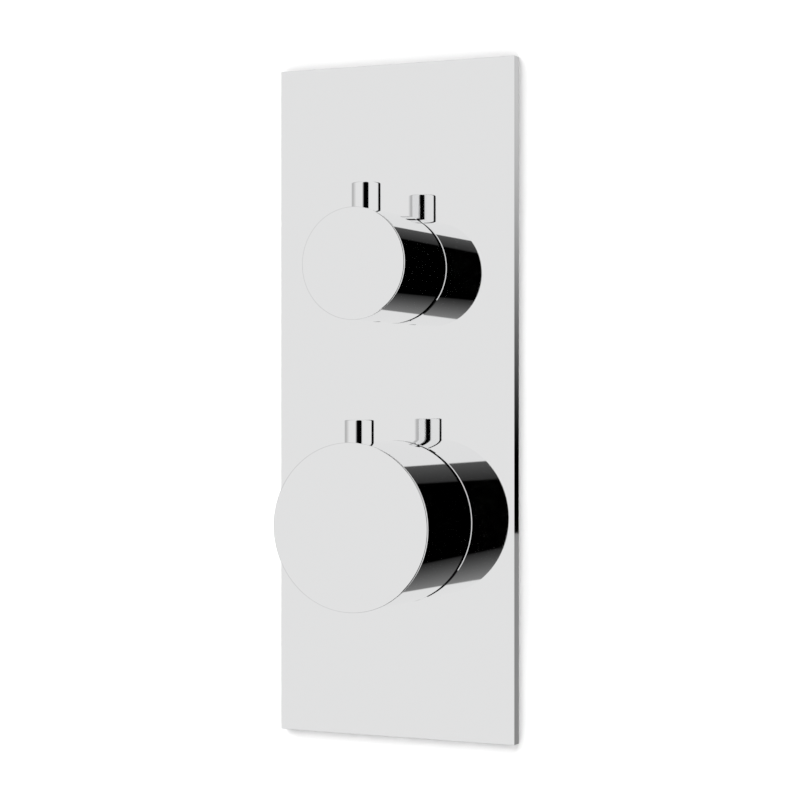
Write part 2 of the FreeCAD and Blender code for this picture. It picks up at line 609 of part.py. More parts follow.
def make_overload_unit():
    """Spring-loaded cap in the nut: it gives way if the element pushes when the hot seat is shut."""
    ring("overload_circlip", "temperature", "overload_clip_radius",
         "regulator_bore_radius + overload_clip_bite - slide_gap", overload_clip_back, cap_back)
    cap = on_axis("overload_cap", "temperature")
    turned(cap, "Cap", [
        ("0", cap_back), ("(regulator_bore_radius - 2 * slide_gap)", cap_back),
        ("(regulator_bore_radius - 2 * slide_gap)", cap_front), ("cap_boss_radius", cap_front),
        ("cap_boss_radius", "%s + cap_boss_length" % cap_front), ("0", "%s + cap_boss_length" % cap_front)])
    coil("overload_spring", "user", "0", "-temperature_drop", cap_front, thread_back,
         "overload_coil_radius", "wire", "overload_turns")


def coil(label, facing, depth, height, back, front, radius, wire, turns):
    """A spring of square wire between two stations."""
    body = new_piece(label, facing, y=depth, z=height)
    section = new_sketch(body, "WireSection", "XZ_Plane")
    draw(section, rectangle("%s - %s / 2" % (radius, wire), "%s + %s / 2" % (radius, wire),
                            back, "%s + %s" % (back, wire)))
    spring = body.newObject("PartDesign::AdditiveHelix", "Coil")
    spring.Profile = section
    spring.ReferenceAxis = (section, ["V_Axis"])
    spring.Mode = "pitch-height-angle"
    bind(spring, "Height", "%s - %s - %s" % (front, back, wire))
    bind(spring, "Pitch", "(%s - %s - %s) / %s" % (front, back, wire, turns))


def make_wax_element():
    """The capsule that grows with heat, with its collar on the shuttle's web and its piston on the cap."""
    collar = "(element_radius + element_shoulder)"
    collar_end = "(%s + element_flange)" % web_front
    guide_end = "(%s + element_flange + guide_length)" % web_front
    body = on_axis("wax_element", "temperature")
    turned(body, "Capsule", [
        ("0", "%s - element_tail" % web_back), ("element_radius", "%s - element_tail" % web_back),
        ("element_radius", web_front), (collar, web_front), (collar, collar_end), ("guide_radius", collar_end),
        ("guide_radius", guide_end), ("piston_radius", guide_end), ("piston_radius", cap_back), ("0", cap_back)])


def make_shuttle():
    """The sliding ring that shares the flow between its cold edge in front and its hot edge behind."""
    outer = "(cage_bore_radius - slide_gap)"
    inner = "(%s - shuttle_wall)" % outer
    floor = "(%s - shuttle_seal_depth)" % outer
    hub = "(element_radius + slide_gap)"
    groove_back = "(-inlet_depth - shuttle_seal_width / 2)"
    groove_front = "(-inlet_depth + shuttle_seal_width / 2)"
    body = on_axis("shuttle", "temperature")
    turned(body, "Shuttle", [
        (outer, shuttle_back), (outer, groove_back), (floor, groove_back), (floor, groove_front),
        (outer, groove_front), (outer, shuttle_front), (inner, shuttle_front), (inner, web_front),
        (hub, web_front), (hub, web_back), (inner, web_back), (inner, shuttle_back)])
    flow_holes(body, web_front, "shuttle_web")
    ring("shuttle_seal", "temperature", floor, outer, groove_back, groove_front)


def flow_holes(body, front, depth):
    sketch = new_sketch(body, "FlowHoleOutline", "XY_Plane", offset=front, y="flow_hole_circle")
    draw(sketch, hexagon("flow_hole_across"))
    first = cut_out(body, "FlowHole", sketch, depth)
    round_the_axis(body, "FlowHoles", first, "flow_holes")


def make_hot_seat():
    """The ring screwed into the back of the cage: its front edge is the hot seat, its flange holds the spring."""
    outer = "(cage_bore_radius - slide_gap)"
    inner = "(%s - seat_ring_wall)" % outer
    hole = "(element_radius + element_shoulder / 2)"
    back = "(-chamber_end + seat_flange_inset)"
    body = on_axis("hot_seat", "temperature")
    turned(body, "Seat", [(hole, back), (outer, back), (outer, hot_seat_face), (inner, hot_seat_face),
                          (inner, seat_flange_front), (hole, seat_flange_front)])
    flow_holes(body, seat_flange_front, "seat_flange")
    coil("return_spring", "user", "0", "-temperature_drop", seat_flange_front, web_back,
         "return_coil_radius", "wire", "return_turns")


def make_cage():
    """The cartridge's outer tube, with a row of cold windows, a row of hot windows and three seals."""
    outer = "(chamber_radius - slide_gap)"
    floor = "(%s - seal_seat_depth)" % outer
    lines = ["(-chamber_end + cage_seal_inset)", "(-inlet_depth)", "(%s - cage_seal_inset)" % mouth_back]
    lands = [(outer, chamber_back)]
    seals = []
    for line in lines:
        back = "(%s - seal_width / 2)" % line
        front = "(%s + seal_width / 2)" % line
        lands += [(outer, back), (floor, back), (floor, front), (outer, front)]
        seals.append(rectangle(floor, "chamber_radius", back, front))
    body = on_axis("thermostat_cage", "temperature")
    turned(body, "Cage", lands + [(outer, mouth_back), ("cage_bore_radius", mouth_back),
                                  ("cage_bore_radius", chamber_back)])
    for name, line in (("Cold", cold_line), ("Hot", hot_line)):
        window = new_sketch(body, name + "WindowOutline", "XZ_Plane")
        draw(window, rectangle("-window_height / 2", "window_height / 2",
                               "%s - window_width / 2" % line, "%s + window_width / 2" % line))
        first = cut_out(body, name + "Window", window, "chamber_radius + hole_overrun")
        round_the_axis(body, name + "Windows", first, "cage_windows")
    turned(on_axis("cage_seals", "temperature"), "CageSeals", *seals)


# ---- Flow cartridge

def make_flow_cartridge():
    collar_room = "(collar_radius + moving_gap)"
    bore = "(spindle_radius + slide_gap)"
    make_bonnet("flow", [(bore, shoulder), (collar_room, shoulder), (collar_room, mouth_back)])
    make_disc_shell()
    for label, radius, back, front in (
            ("fixed_ceramic_disc", "shell_bore_radius - slide_gap", disc_seal_front, fixed_disc_front),
            ("disc_seal", "shell_bore_radius - slide_gap", "(-flow_floor)", disc_seal_front)):
        body = on_axis(label, "flow")
        outline = new_sketch(body, "DiscOutline", "XY_Plane", offset=back)
        draw_circle(outline, "0", "0", radius)
        for side in ("-", ""):
            draw_circle(outline, side + "port_offset", "0", "port_radius")
        raised(body, "Disc", outline, "%s - %s" % (front, back))
    body = on_axis("moving_ceramic_disc", "flow")
    outline = new_sketch(body, "DiscOutline", "XY_Plane", offset=moving_disc_back)
    draw_circle(outline, "0", "0", "moving_disc_radius")
    draw_circle(outline, "0", "port_offset", "port_radius")
    raised(body, "Disc", outline, "moving_disc_thickness")
    slot = new_sketch(body, "SlotOutline", "XY_Plane", offset=moving_disc_front)
    draw_tongue(slot, "slide_gap")
    cut_out(body, "DriveSlot", slot, "drive_depth + slide_gap")


def make_disc_shell():
    """The shell that carries both discs, open at its side to the mixed water round it."""
    body = on_axis("disc_shell", "flow")
    outer = "(chamber_radius - slide_gap)"
    turned(body, "Shell", [
        ("shell_bore_radius", "-flow_floor + moving_gap"), ("shell_radius", "-flow_floor + moving_gap"),
        ("shell_radius", "%s - shell_collar" % mouth_back), (outer, "%s - shell_collar" % mouth_back),
        (outer, mouth_back), ("shell_bore_radius", mouth_back)])
    window = new_sketch(body, "WindowOutline", "XZ_Plane")
    draw(window, rectangle("-shell_window_width / 2", "shell_window_width / 2", "%s + shell_collar / 2"
                           % moving_disc_front, "%s + shell_collar / 2 + shell_window_length" % moving_disc_front))
    first = cut_out(body, "Window", window, "shell_radius + hole_overrun")
    round_the_axis(body, "Windows", first, "shell_windows")


# ---- Check valve and strainer in each inlet. Here Z points out of the inlet.

def make_inlet_fittings(water, facing):
    outer = "(check_bore_radius - slide_gap)"
    inner = "(%s - check_cage_wall)" % outer
    guide = "(stem_radius + slide_gap)"
    floor = "(%s + check_plate)" % check_start
    head_front = "(%s - check_plate - slide_gap)" % check_end
    head_back = "(%s - poppet_thickness)" % head_front
    in_body = {"facing": facing, "y": "inlet_depth", "z": "-temperature_drop"}
    cage = new_piece(water + "_check_cage", **in_body)
    turned(cage, "CheckCage", [
        (guide, check_start), (outer, check_start), (outer, check_end), ("check_seat_radius", check_end),
        ("check_seat_radius", "%s - check_plate" % check_end), (inner, "%s - check_plate" % check_end),
        (inner, floor), (guide, floor)])
    hole = new_sketch(cage, "FlowHoleOutline", "XY_Plane", offset=floor, y="check_seat_radius")
    draw(hole, hexagon("flow_hole_across"))
    first = cut_out(cage, "FlowHole", hole, "check_plate")
    round_the_axis(cage, "FlowHoles", first, "check_holes")
    poppet = new_piece(water + "_check_poppet", **in_body)
    turned(poppet, "Poppet", [
        ("0", "%s - stem_overhang" % check_start), ("stem_radius", "%s - stem_overhang" % check_start),
        ("stem_radius", head_back), ("poppet_radius", head_back), ("poppet_radius", head_front),
        ("0", head_front)])
    coil(water + "_check_spring", facing, "inlet_depth", "-temperature_drop", floor, head_back,
         "check_coil_radius", "check_wire", "check_turns")
    strainer = new_piece(water + "_strainer", **in_body)
    disc_front = "(%s + strainer_thickness)" % check_end
    rim_front = "(%s + strainer_rim)" % check_end
    turned(strainer, "Strainer", [
        ("0", check_end), (outer, check_end), (outer, rim_front), ("(%s - strainer_thickness)" % outer, rim_front),
        ("(%s - strainer_thickness)" % outer, disc_front), ("0", disc_front)])
    hole = new_sketch(strainer, "HoleOutline", "XY_Plane", offset=disc_front, y="strainer_circle")
    draw(hole, hexagon("strainer_hole_across"))
    first = cut_out(strainer, "StrainerHole", hole, "strainer_thickness")
    round_the_axis(strainer, "StrainerHoles", first, "strainer_holes")


# ---- Valve body: one brass casting

def make_valve_body():
    drop = "-temperature_drop"
    solids = []
    rim = "(boss_radius - casting_edge)"
    for control, height in (("temperature", drop), ("flow", "flow_rise")):
        solids.append(cone(control + "_back_rim", "user", rim, "boss_radius", "casting_edge", y=body_depth, z=height))
        solids.append(cylinder(control + "_boss", "user", "boss_radius", "%s - mouth_depth - 2 * casting_edge"
                               % body_depth, y="%s - casting_edge" % body_depth, z=height))
        solids.append(cone(control + "_front_rim", "user", "boss_radius", rim, "casting_edge",
                           y="mouth_depth + casting_edge", z=height))
    between = "flow_rise + temperature_drop"
    solids.append(cylinder("waterway_pipe", "up", "waterway_radius + pipe_wall", between, y=outlet_depth, z=drop))
    solids.append(block("web", ("web_thickness", "web_depth", between), "-web_thickness / 2",
                        "%s - web_depth" % outlet_depth, drop))
    for side in ("right", "left"):
        sign = "" if side == "right" else "-"
        solids += arm(side + "_inlet", side, "inlet_radius", "inlet_reach", y="inlet_depth", z=drop)
        solids.append(hex_end(side + "_inlet_flats", side, x=sign + "(inlet_reach - nut_flats_length)",
                              y="inlet_depth", z=drop))
    pipe = "(waterway_radius + pipe_wall)"
    solids += arm("top_outlet", "up", pipe, "top_outlet_reach", y=outlet_depth, z="flow_rise")
    solids.append(hex_end("top_outlet_flats", "up", y=outlet_depth,
                          z="flow_rise + top_outlet_reach - nut_flats_length"))
    solids += arm("side_outlet", "right", pipe, "side_outlet_reach", y=outlet_depth, z="flow_rise")
    solids.append(hex_end("side_outlet_flats", "right", x="side_outlet_reach - nut_flats_length", y=outlet_depth,
                          z="flow_rise"))
    casting = joined("casting", solids)
    less("valve_body", casting, joined("waterways", body_bores()))


def arm(name, facing, radius, reach, y, z):
    """A cast arm out of a boss, flared where it leaves it."""
    flare = "(%s + root_flare)" % radius
    buried = "(sqrt(boss_radius ^ 2 - %s ^ 2) - root_flare)" % flare
    letter = "z" if facing == "up" else "x"
    sign = "-" if facing == "left" else ""
    start = {"x": "0", "y": y, "z": z}
    start[letter] = "%s + %s%s" % (start[letter], sign, buried)
    return [cylinder(name + "_arm", facing, radius, "%s - nut_flats_length / 2" % reach, y=y, z=z),
            cone(name + "_root", facing, flare, radius, "3 * root_flare", **start)]


def body_bores():
    """Everything that is bored, threaded or cored in the casting."""
    drop = "-temperature_drop"
    bores = []
    for control, height, floor in (("temperature", drop, "chamber_end"), ("flow", "flow_rise", "flow_floor")):
        mouth = {"y": "mouth_depth + mouth_length", "z": height}
        bores.append(cylinder(control + "_chamber", "user", "chamber_radius", floor, y=floor, z=height))
        bores.append(cylinder(control + "_mouth", "user", "mouth_radius", "mouth_depth + mouth_length", **mouth))
        bores.append(cylinder(control + "_seal_seat", "user", "mouth_radius + bonnet_seal_width",
                              "mouth_depth + bonnet_seal_width", y="mouth_depth + bonnet_seal_width", z=height))
        for place_name, x in (("left", "-screw_spread"), ("right", "screw_spread")):
            bores.append(cylinder("%s_%s_tapping" % (control, place_name), "user", "screw_radius",
                                  "screw_length - bracket_thickness + hole_overrun", x=x,
                                  y=body_depth, z=height))
    bores.append(cylinder("mixing_pocket", "user", "chamber_radius - seat_step", pocket_end, y=pocket_end, z=drop))
    for water, line, side in (("cold", cold_line, "right"), ("hot", hot_line, "left")):
        sign = "" if side == "right" else "-"
        bores.append(cylinder(water + "_groove", "user", "chamber_radius + groove_depth", "window_width",
                              y="window_width / 2 - %s" % line, z=drop))
        bores.append(cylinder(water + "_check_bore", side, "check_bore_radius", "inlet_reach - %s" % check_bore_end,
                              x=sign + check_bore_end, y="inlet_depth", z=drop))
        bores.append(cylinder(water + "_thread", side, "pipe_thread_radius", "pipe_thread_length + hole_overrun",
                              x=sign + "(inlet_reach - pipe_thread_length)", y="inlet_depth", z=drop))
        port_end = "(%s + hole_overrun)" % check_bore_end
        port = ("%s - chamber_radius" % port_end, "window_width", "window_height")
        bores.append(block(water + "_port", port, "chamber_radius" if side == "right" else "-" + port_end,
                           "-window_width / 2 - %s" % line, "%s - window_height / 2" % drop))
    bores.append(cylinder("waterway", "up", "waterway_radius", "flow_rise + temperature_drop - feed_offset + "
                          "feed_radius", y=outlet_depth, z=drop))
    bores.append(cylinder("feed_port", "user", "feed_radius", "%s - flow_floor" % outlet_depth, y=outlet_depth,
                          z="flow_rise - feed_offset"))
    for side in ("-", ""):
        bores.append(cylinder("outlet_port", "user", "port_radius", "%s - flow_floor" % outlet_depth,
                              x=side + "port_offset", y=outlet_depth, z="flow_rise"))
    bores.append(cylinder("top_passage", "up", "passage_radius", "top_outlet_reach + passage_radius",
                          x="-passage_offset", y=outlet_depth, z="flow_rise - passage_radius"))
    bores.append(cylinder("top_thread", "up", "pipe_thread_radius", "pipe_thread_length + hole_overrun",
                          y=outlet_depth, z="flow_rise + top_outlet_reach - pipe_thread_length"))
    bores.append(cylinder("side_passage", "right", "passage_radius", "side_outlet_reach - port_offset",
                          x="port_offset", y=outlet_depth, z="flow_rise"))
    bores.append(cylinder("side_thread", "right", "pipe_thread_radius", "pipe_thread_length + hole_overrun",
                          x="side_outlet_reach - pipe_thread_length", y=outlet_depth, z="flow_rise"))
    return bores


# ---- Wall bracket and its countersunk screws

def make_bracket():
    body = new_piece("mounting_bracket", z="(flow_rise - temperature_drop) / 2")
    outline = new_sketch(body, "BracketOutline", "XY_Plane", offset=bracket_back)
    draw(outline, rectangle("-bracket_width / 2", "bracket_width / 2", "-bracket_height / 2", "bracket_height / 2"))
    for across in ("-", ""):
        for up in ("-", ""):
            draw_circle(outline, across + "fixing_spread", up + "(bracket_height / 2 - fixing_inset)",
                        "fixing_hole_radius")
    pad = raised(body, "Bracket", outline, "bracket_thickness")
    doc.recompute()
    corners = [number for number, edge in enumerate(pad.Shape.Edges, 1)
               if edge.BoundBox.ZLength > pad.Length.Value / 2 and edge.Curve.TypeId == "Part::GeomLine"
               and abs(abs(edge.CenterOfMass.x) - sheet.bracket_width / 2) < sheet.slide_gap]
    rounding = body.newObject("PartDesign::Fillet", "BracketCorners")
    rounding.Base = (pad, ["Edge%d" % number for number in corners])
    bind(rounding, "Radius", "bracket_corner")
    screws = on_axis("bracket_screws", "plate")
    middle = "(flow_rise - temperature_drop) / 2"
    heads = []
    seats = []
    for control in ("temperature", "flow"):
        height = AXIS_HEIGHT[control]
        heads.append(screw_turning(screws, "Screw", height))
        seats.append(screw_turning(body, "ScrewSeat", "%s - %s" % (height, middle), cut=True))
    for holder, turnings, name in ((screws, heads, "ScrewPairs"), (body, seats, "SeatPairs")):
        pairs = holder.newObject("PartDesign::Mirrored", name)
        pairs.Originals = turnings
        pairs.MirrorPlane = (from_origin(holder, "YZ_Plane"), [""])
        holder.Tip = pairs


def screw_turning(body, name, height, cut=False):
    """A countersunk screw, or the seat for it, beside a chamber's axis."""
    sketch = new_sketch(body, name + "Profile", "XZ_Plane", offset="-(%s)" % height, x="screw_spread")
    tip = "(%s + screw_length)" % bracket_back
    draw(sketch, [("0", bracket_back), ("screw_head_radius", bracket_back),
                  ("screw_radius", "%s + screw_head_height" % bracket_back), ("screw_radius", tip), ("0", tip)])
    feature = body.newObject("PartDesign::Groove" if cut else "PartDesign::Revolution", name)
    feature.Profile = sketch
    feature.ReferenceAxis = (sketch, ["V_Axis"])
    feature.Angle = 360
    return feature


# ---- The whole valve

make_faceplate()
make_gasket()
for knob in ("temperature", "flow"):
    make_knob(knob)
    make_lever(knob)
    make_grub_screw(knob)
    make_sleeve(knob)
    make_adaptor(knob)
    make_spindle_fittings(knob)
make_stop_ring("temperature", "hottest_turn", "coldest_turn")
make_stop_ring("flow", "outlet_turn", "outlet_turn")
make_spindle("temperature", "(%s + thread_end_gap)" % thread_back)
make_spindle("flow", "(%s + drive_gap)" % moving_disc_front)
make_thermostat_cartridge()
make_flow_cartridge()
make_inlet_fittings("cold", "right")
make_inlet_fittings("hot", "left")
make_valve_body()
make_bracket()
doc.recompute()

# ---- Everything is checked before it is written

GROUPS = {"cage_seals": 3, "bracket_screws": 4}
pieces = [item for item in doc.Objects if item.TypeId == "PartDesign::Body" or item.Name == "valve_body"]

for item in doc.Objects:
    faults = [word for word in item.State if word in ("Invalid", "Error")]
    if faults:
        raise RuntimeError("%s is %s" % (item.Name, ", ".join(faults)))

for feature in doc.Objects:
    if feature.TypeId in ("PartDesign::Pocket", "PartDesign::Groove"):
        if feature.Shape.Volume >= feature.BaseFeature.Shape.Volume:
            raise RuntimeError("%s cuts nothing" % feature.Name)

os.makedirs("parts", exist_ok=True)
for piece in pieces:
    shape = piece.Shape
    wanted = GROUPS.get(piece.Label, 1)
    if shape.isNull() or not shape.isValid() or len(shape.Solids) != wanted:
        raise RuntimeError("%s has a bad shape" % piece.Label)
for piece in pieces:
    piece.Shape.exportStep("parts/%s.step" % piece.Label)
print("%d pieces" % len(pieces))
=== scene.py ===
import json
import math
import bpy
import bmesh
from mathutils import Matrix, Vector
from mathutils.geometry import tessellate_polygon


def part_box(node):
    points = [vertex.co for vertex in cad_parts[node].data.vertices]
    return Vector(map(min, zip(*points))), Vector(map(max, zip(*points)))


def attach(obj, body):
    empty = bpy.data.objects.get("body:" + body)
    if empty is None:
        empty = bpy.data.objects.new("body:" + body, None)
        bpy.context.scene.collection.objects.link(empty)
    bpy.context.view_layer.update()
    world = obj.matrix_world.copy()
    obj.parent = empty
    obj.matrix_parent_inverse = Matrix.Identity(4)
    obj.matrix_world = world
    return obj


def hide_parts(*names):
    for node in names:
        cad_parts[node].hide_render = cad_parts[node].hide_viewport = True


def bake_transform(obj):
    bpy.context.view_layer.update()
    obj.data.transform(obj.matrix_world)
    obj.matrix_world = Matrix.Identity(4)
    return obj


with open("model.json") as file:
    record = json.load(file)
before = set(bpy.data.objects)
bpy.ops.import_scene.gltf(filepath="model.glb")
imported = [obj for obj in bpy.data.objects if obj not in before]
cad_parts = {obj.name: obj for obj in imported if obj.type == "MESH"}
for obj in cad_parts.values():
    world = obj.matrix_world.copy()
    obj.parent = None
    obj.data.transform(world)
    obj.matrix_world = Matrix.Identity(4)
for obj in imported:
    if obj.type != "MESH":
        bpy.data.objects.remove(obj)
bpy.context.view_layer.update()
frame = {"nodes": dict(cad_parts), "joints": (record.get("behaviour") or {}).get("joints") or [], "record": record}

nodes = frame["nodes"]
slotOf = {part["node"]: part["material_slot"] for part in frame["record"]["subparts"]}
ports = [mount for mount in frame["record"]["mounts"] if mount["kind"] == "threaded_hole"]
controls = ("temperature", "flow")
mm = 0.001
micron = 0.000001

# Camera: fitted to the photo's edges. It stands to the right of the plate's middle and looks level.

photoCamera = {"right": 394.1 * mm, "front": 890.2 * mm, "up": 0.0, "turn": 23.86,
               "lens": 94.64, "sensor": 36.0, "shiftUp": 0.0004}


def addPiece(name, content):
    piece = bpy.data.objects.new(name, content)
    bpy.context.scene.collection.objects.link(piece)
    return piece


def placeCamera():
    data = bpy.data.cameras.new("photoCamera")
    data.lens = photoCamera["lens"]
    data.sensor_width = photoCamera["sensor"]
    data.shift_y = photoCamera["shiftUp"]
    camera = addPiece("photoCamera", data)
    camera.location = (photoCamera["right"], -photoCamera["front"], photoCamera["up"])
    camera.rotation_euler = (math.radians(90), 0, math.radians(photoCamera["turn"]))
    bpy.context.scene.camera = camera
    bpy.context.scene.view_settings.view_transform = "Standard"


placeCamera()
print("camera placed")


# Node tree helpers

def plug(tree, value, socket):
    if isinstance(value, bpy.types.NodeSocket):
        tree.links.new(value, socket)
    else:
        socket.default_value = value


def addNode(tree, kind, settings=None, inputs=None):
    node = tree.nodes.new(kind)
    for name, value in (settings or {}).items():
        setattr(node, name, value)
    for name, value in (inputs or {}).items():
        plug(tree, value, node.inputs[name])
    return node


def newMaterial(name):
    material = bpy.data.materials.new(name)
    material.use_nodes = True
    tree = material.node_tree
    tree.nodes.clear()
    return material, tree, tree.nodes.new("ShaderNodeOutputMaterial")


def mathNode(tree, operation, *values):
    return addNode(tree, "ShaderNodeMath", {"operation": operation}, dict(enumerate(values))).outputs[0]


def inverted(tree, value):
    return mathNode(tree, "SUBTRACT", 1.0, value)


def mixValues(tree, factor, first, second):
    return addNode(tree, "ShaderNodeMix", {"data_type": "FLOAT"}, {0: factor, 2: first, 3: second}).outputs[0]


def mixColors(tree, factor, first, second):
    return addNode(tree, "ShaderNodeMix", {"data_type": "RGBA"}, {0: factor, 6: first, 7: second}).outputs[2]


def colorRamp(tree, factor, firstAt, first, lastAt, last):
    node = tree.nodes.new("ShaderNodeValToRGB")
    start, end = node.color_ramp.elements
    start.position, start.color = firstAt, first + (1,)
    end.position, end.color = lastAt, last + (1,)
    plug(tree, factor, node.inputs[0])
    return node.outputs[0]


def noise(tree, point, featureSize, detail=4.0, roughness=0.55):
    return addNode(tree, "ShaderNodeTexNoise", None, {
        "Vector": point, "Scale": 1 / featureSize, "Detail": detail, "Roughness": roughness}).outputs["Fac"]


def stretched(tree, point, scale):
    return addNode(tree, "ShaderNodeMapping", None, {"Vector": point, "Scale": scale}).outputs[0]


def mapped(tree, value, low, high, atLow, atHigh, kind="LINEAR"):
    return addNode(tree, "ShaderNodeMapRange", {"interpolation_type": kind}, {
        "Value": value, "From Min": low, "From Max": high, "To Min": atLow, "To Max": atHigh}).outputs[0]


# 1 where value is past the edge, fading in over softness
def past(tree, value, edge, softness):
    start = mathNode(tree, "SUBTRACT", value, edge)
    return mapped(tree, start, -softness / 2, softness / 2, 0.0, 1.0, "SMOOTHSTEP")


def between(tree, value, low, high, softness):
    above = past(tree, value, low, softness)
    return mathNode(tree, "MULTIPLY", above, inverted(tree, past(tree, value, high, softness)))


# World: white to the camera, even light on the valve, and a light tent with black cards in reflections.
# Azimuth is in degrees from straight out of the wall, positive on the camera's side. Elevation is from level.

studio = {
    "fill": 0.12,
    "mirrorDepth": 0.5,     # a reflection seen after more diffuse bounces than this is dim
    "tent": 0.785,      # what the tent's walls return, which sets the grey of the chrome
    "sideStart": -95.0, "sideEnd": -58.0, "sideGrey": 0.48,     # the tent is dimmer far to the left
    # a soft black card level with the valve, and a black booth behind it that is taller
    "cardLeft": 0.4, "cardRight": 43.0, "cardHeight": 11.0, "cardSoft": 18.0,
    "boothLeft": 12.9, "edgeSoft": 1.2,
    # dark cloth above the card, up to the booth
    "clothLeft": 0.8, "clothDark": 0.028, "clothLight": 0.085,
    # the shaded table below the card: its left edge leans, and it is lighter on the left
    "tableLeft": -9.3, "tableLean": 0.8, "tableMiddle": -21.0, "tableDark": 0.018, "tableLight": 0.215,
    # what the plate's right side reflects, by the ray's height: light, a black card, dim light
    "backStart": 138.0, "backTop": 0.5, "backBright": 0.80, "backLight": 0.16, "backGrey": 0.57,
    "backDark": -0.028, "backCard": -0.063, "backLow": 0.25,
}


def backLight(tree, rise):
    dark, middle, top, grey = (studio[key] for key in ("backDark", "backLight", "backTop", "backGrey"))
    overCard = mapped(tree, rise, dark, middle, 0.0, grey, "SMOOTHSTEP")
    highUp = mapped(tree, rise, middle, top, 0.0, studio["backBright"] - grey)
    under = mathNode(tree, "LESS_THAN", rise, studio["backCard"])
    underCard = mathNode(tree, "MULTIPLY", under, studio["backLow"])
    return mathNode(tree, "ADD", underCard, mathNode(tree, "ADD", overCard, highUp))


def tentLight(tree, azimuth, elevation, rise):
    soft, left, right, height = (studio[key] for key in ("edgeSoft", "cardLeft", "cardRight", "cardHeight"))
    card = mathNode(tree, "MULTIPLY", between(tree, azimuth, left, right, studio["cardSoft"]),
                    between(tree, elevation, -height, height, soft))
    booth = between(tree, azimuth, studio["boothLeft"], right, soft)
    cloth = mathNode(tree, "MULTIPLY", past(tree, elevation, height, soft),
                     between(tree, azimuth, studio["clothLeft"], studio["boothLeft"] + soft, soft))
    clothLight = mapped(tree, azimuth, studio["clothLeft"], studio["boothLeft"],
                        studio["clothLight"], studio["clothDark"])
    leaning = mathNode(tree, "MULTIPLY_ADD", mathNode(tree, "SUBTRACT", elevation, studio["tableMiddle"]),
                       studio["tableLean"], azimuth)
    table = mathNode(tree, "MULTIPLY", inverted(tree, past(tree, elevation, -height, soft)),
                     between(tree, leaning, studio["tableLeft"], right, soft))
    tableLight = mapped(tree, azimuth, studio["boothLeft"], studio["tableLeft"],
                        studio["tableDark"], studio["tableLight"])
    behind = past(tree, mathNode(tree, "ABSOLUTE", azimuth), studio["backStart"], soft)
    light = mapped(tree, azimuth, studio["sideStart"], studio["sideEnd"], studio["sideGrey"], studio["tent"])
    for mask, value in ((behind, backLight(tree, rise)), (table, tableLight), (cloth, clothLight),
                        (booth, 0.0), (card, 0.0)):
        light = mixValues(tree, mask, light, value)
    return light


def makeWorld():
    world = bpy.data.worlds.new("lightTent")
    bpy.context.scene.world = world
    world.use_nodes = True
    tree = world.node_tree
    tree.nodes.clear()
    direction = addNode(tree, "ShaderNodeTexCoord").outputs["Generated"]
    parts = addNode(tree, "ShaderNodeSeparateXYZ", None, {"Vector": direction}).outputs
    outwards = mathNode(tree, "MULTIPLY", parts["Y"], -1.0)
    azimuth = mathNode(tree, "DEGREES", mathNode(tree, "ARCTAN2", parts["X"], outwards))
    elevation = mathNode(tree, "DEGREES", mathNode(tree, "ARCSINE", parts["Z"]))
    ray = addNode(tree, "ShaderNodeLightPath").outputs
    mirrored = mathNode(tree, "MAXIMUM", ray["Is Glossy Ray"], ray["Is Transmission Ray"])
    # what the painted wall sees in the chrome stays dim, so that the plate's shadow isn't filled in
    direct = mathNode(tree, "LESS_THAN", ray["Diffuse Depth"], studio["mirrorDepth"])
    mirrored = mathNode(tree, "MULTIPLY", mirrored, direct)
    strength = mixValues(tree, mirrored, studio["fill"], tentLight(tree, azimuth, elevation, parts["Z"]))
    strength = mixValues(tree, ray["Is Camera Ray"], strength, 1.0)
    background = addNode(tree, "ShaderNodeBackground", None, {"Color": (1, 1, 1, 1), "Strength": strength})
    plug(tree, background.outputs[0], tree.nodes.new("ShaderNodeOutputWorld").inputs["Surface"])


# One very soft light from above the camera's left gives the plate its faint shadow on the right and below
keyLight = {"strength": 3.7, "softness": 80.0, "direction": (0.46, 1.0, -1.08)}


def makeKeyLight():
    data = bpy.data.lights.new("softKey", "SUN")
    data.energy = keyLight["strength"]
    data.angle = math.radians(keyLight["softness"])
    lamp = addPiece("softKey", data)
    lamp.rotation_euler = Vector(keyLight["direction"]).to_track_quat("-Z", "Y").to_euler()
    lamp.visible_glossy = False
    lamp.visible_camera = False


# The wall stands just behind the faceplate. It can't be seen from behind, so the valve in it shows there.
# A lift keeps a plane white to the camera, with no more light on the valve.
room = {"halfWidth": 3.0, "top": 3.0, "floorDrop": 0.55, "wallGap": 0.2 * mm, "paint": 0.95,
        "wallLift": 0.0, "floorLift": 0.25}


def stagePlane(name, corners, lifted, seeThrough):
    mesh = bpy.data.meshes.new(name)
    mesh.from_pydata(corners, [], [(0, 1, 2, 3)])
    plane = addPiece(name, mesh)
    material, tree, output = newMaterial(name)
    paint = addNode(tree, "ShaderNodeBsdfDiffuse", None, {"Color": (room["paint"],) * 3 + (1,)})
    ray = addNode(tree, "ShaderNodeLightPath").outputs
    lift = addNode(tree, "ShaderNodeEmission", None, {
        "Strength": mathNode(tree, "MULTIPLY", ray["Is Camera Ray"], lifted)})
    surface = addNode(tree, "ShaderNodeAddShader", None, {0: paint.outputs[0], 1: lift.outputs[0]}).outputs[0]
    if seeThrough:
        hidden = mathNode(tree, "MAXIMUM", addNode(tree, "ShaderNodeNewGeometry").outputs["Backfacing"],
                          ray["Is Glossy Ray"])
        clear = addNode(tree, "ShaderNodeBsdfTransparent").outputs[0]
        surface = addNode(tree, "ShaderNodeMixShader", None, {0: hidden, 1: surface, 2: clear}).outputs[0]
    plug(tree, surface, output.inputs["Surface"])
    mesh.materials.append(material)
    plane.visible_glossy = False


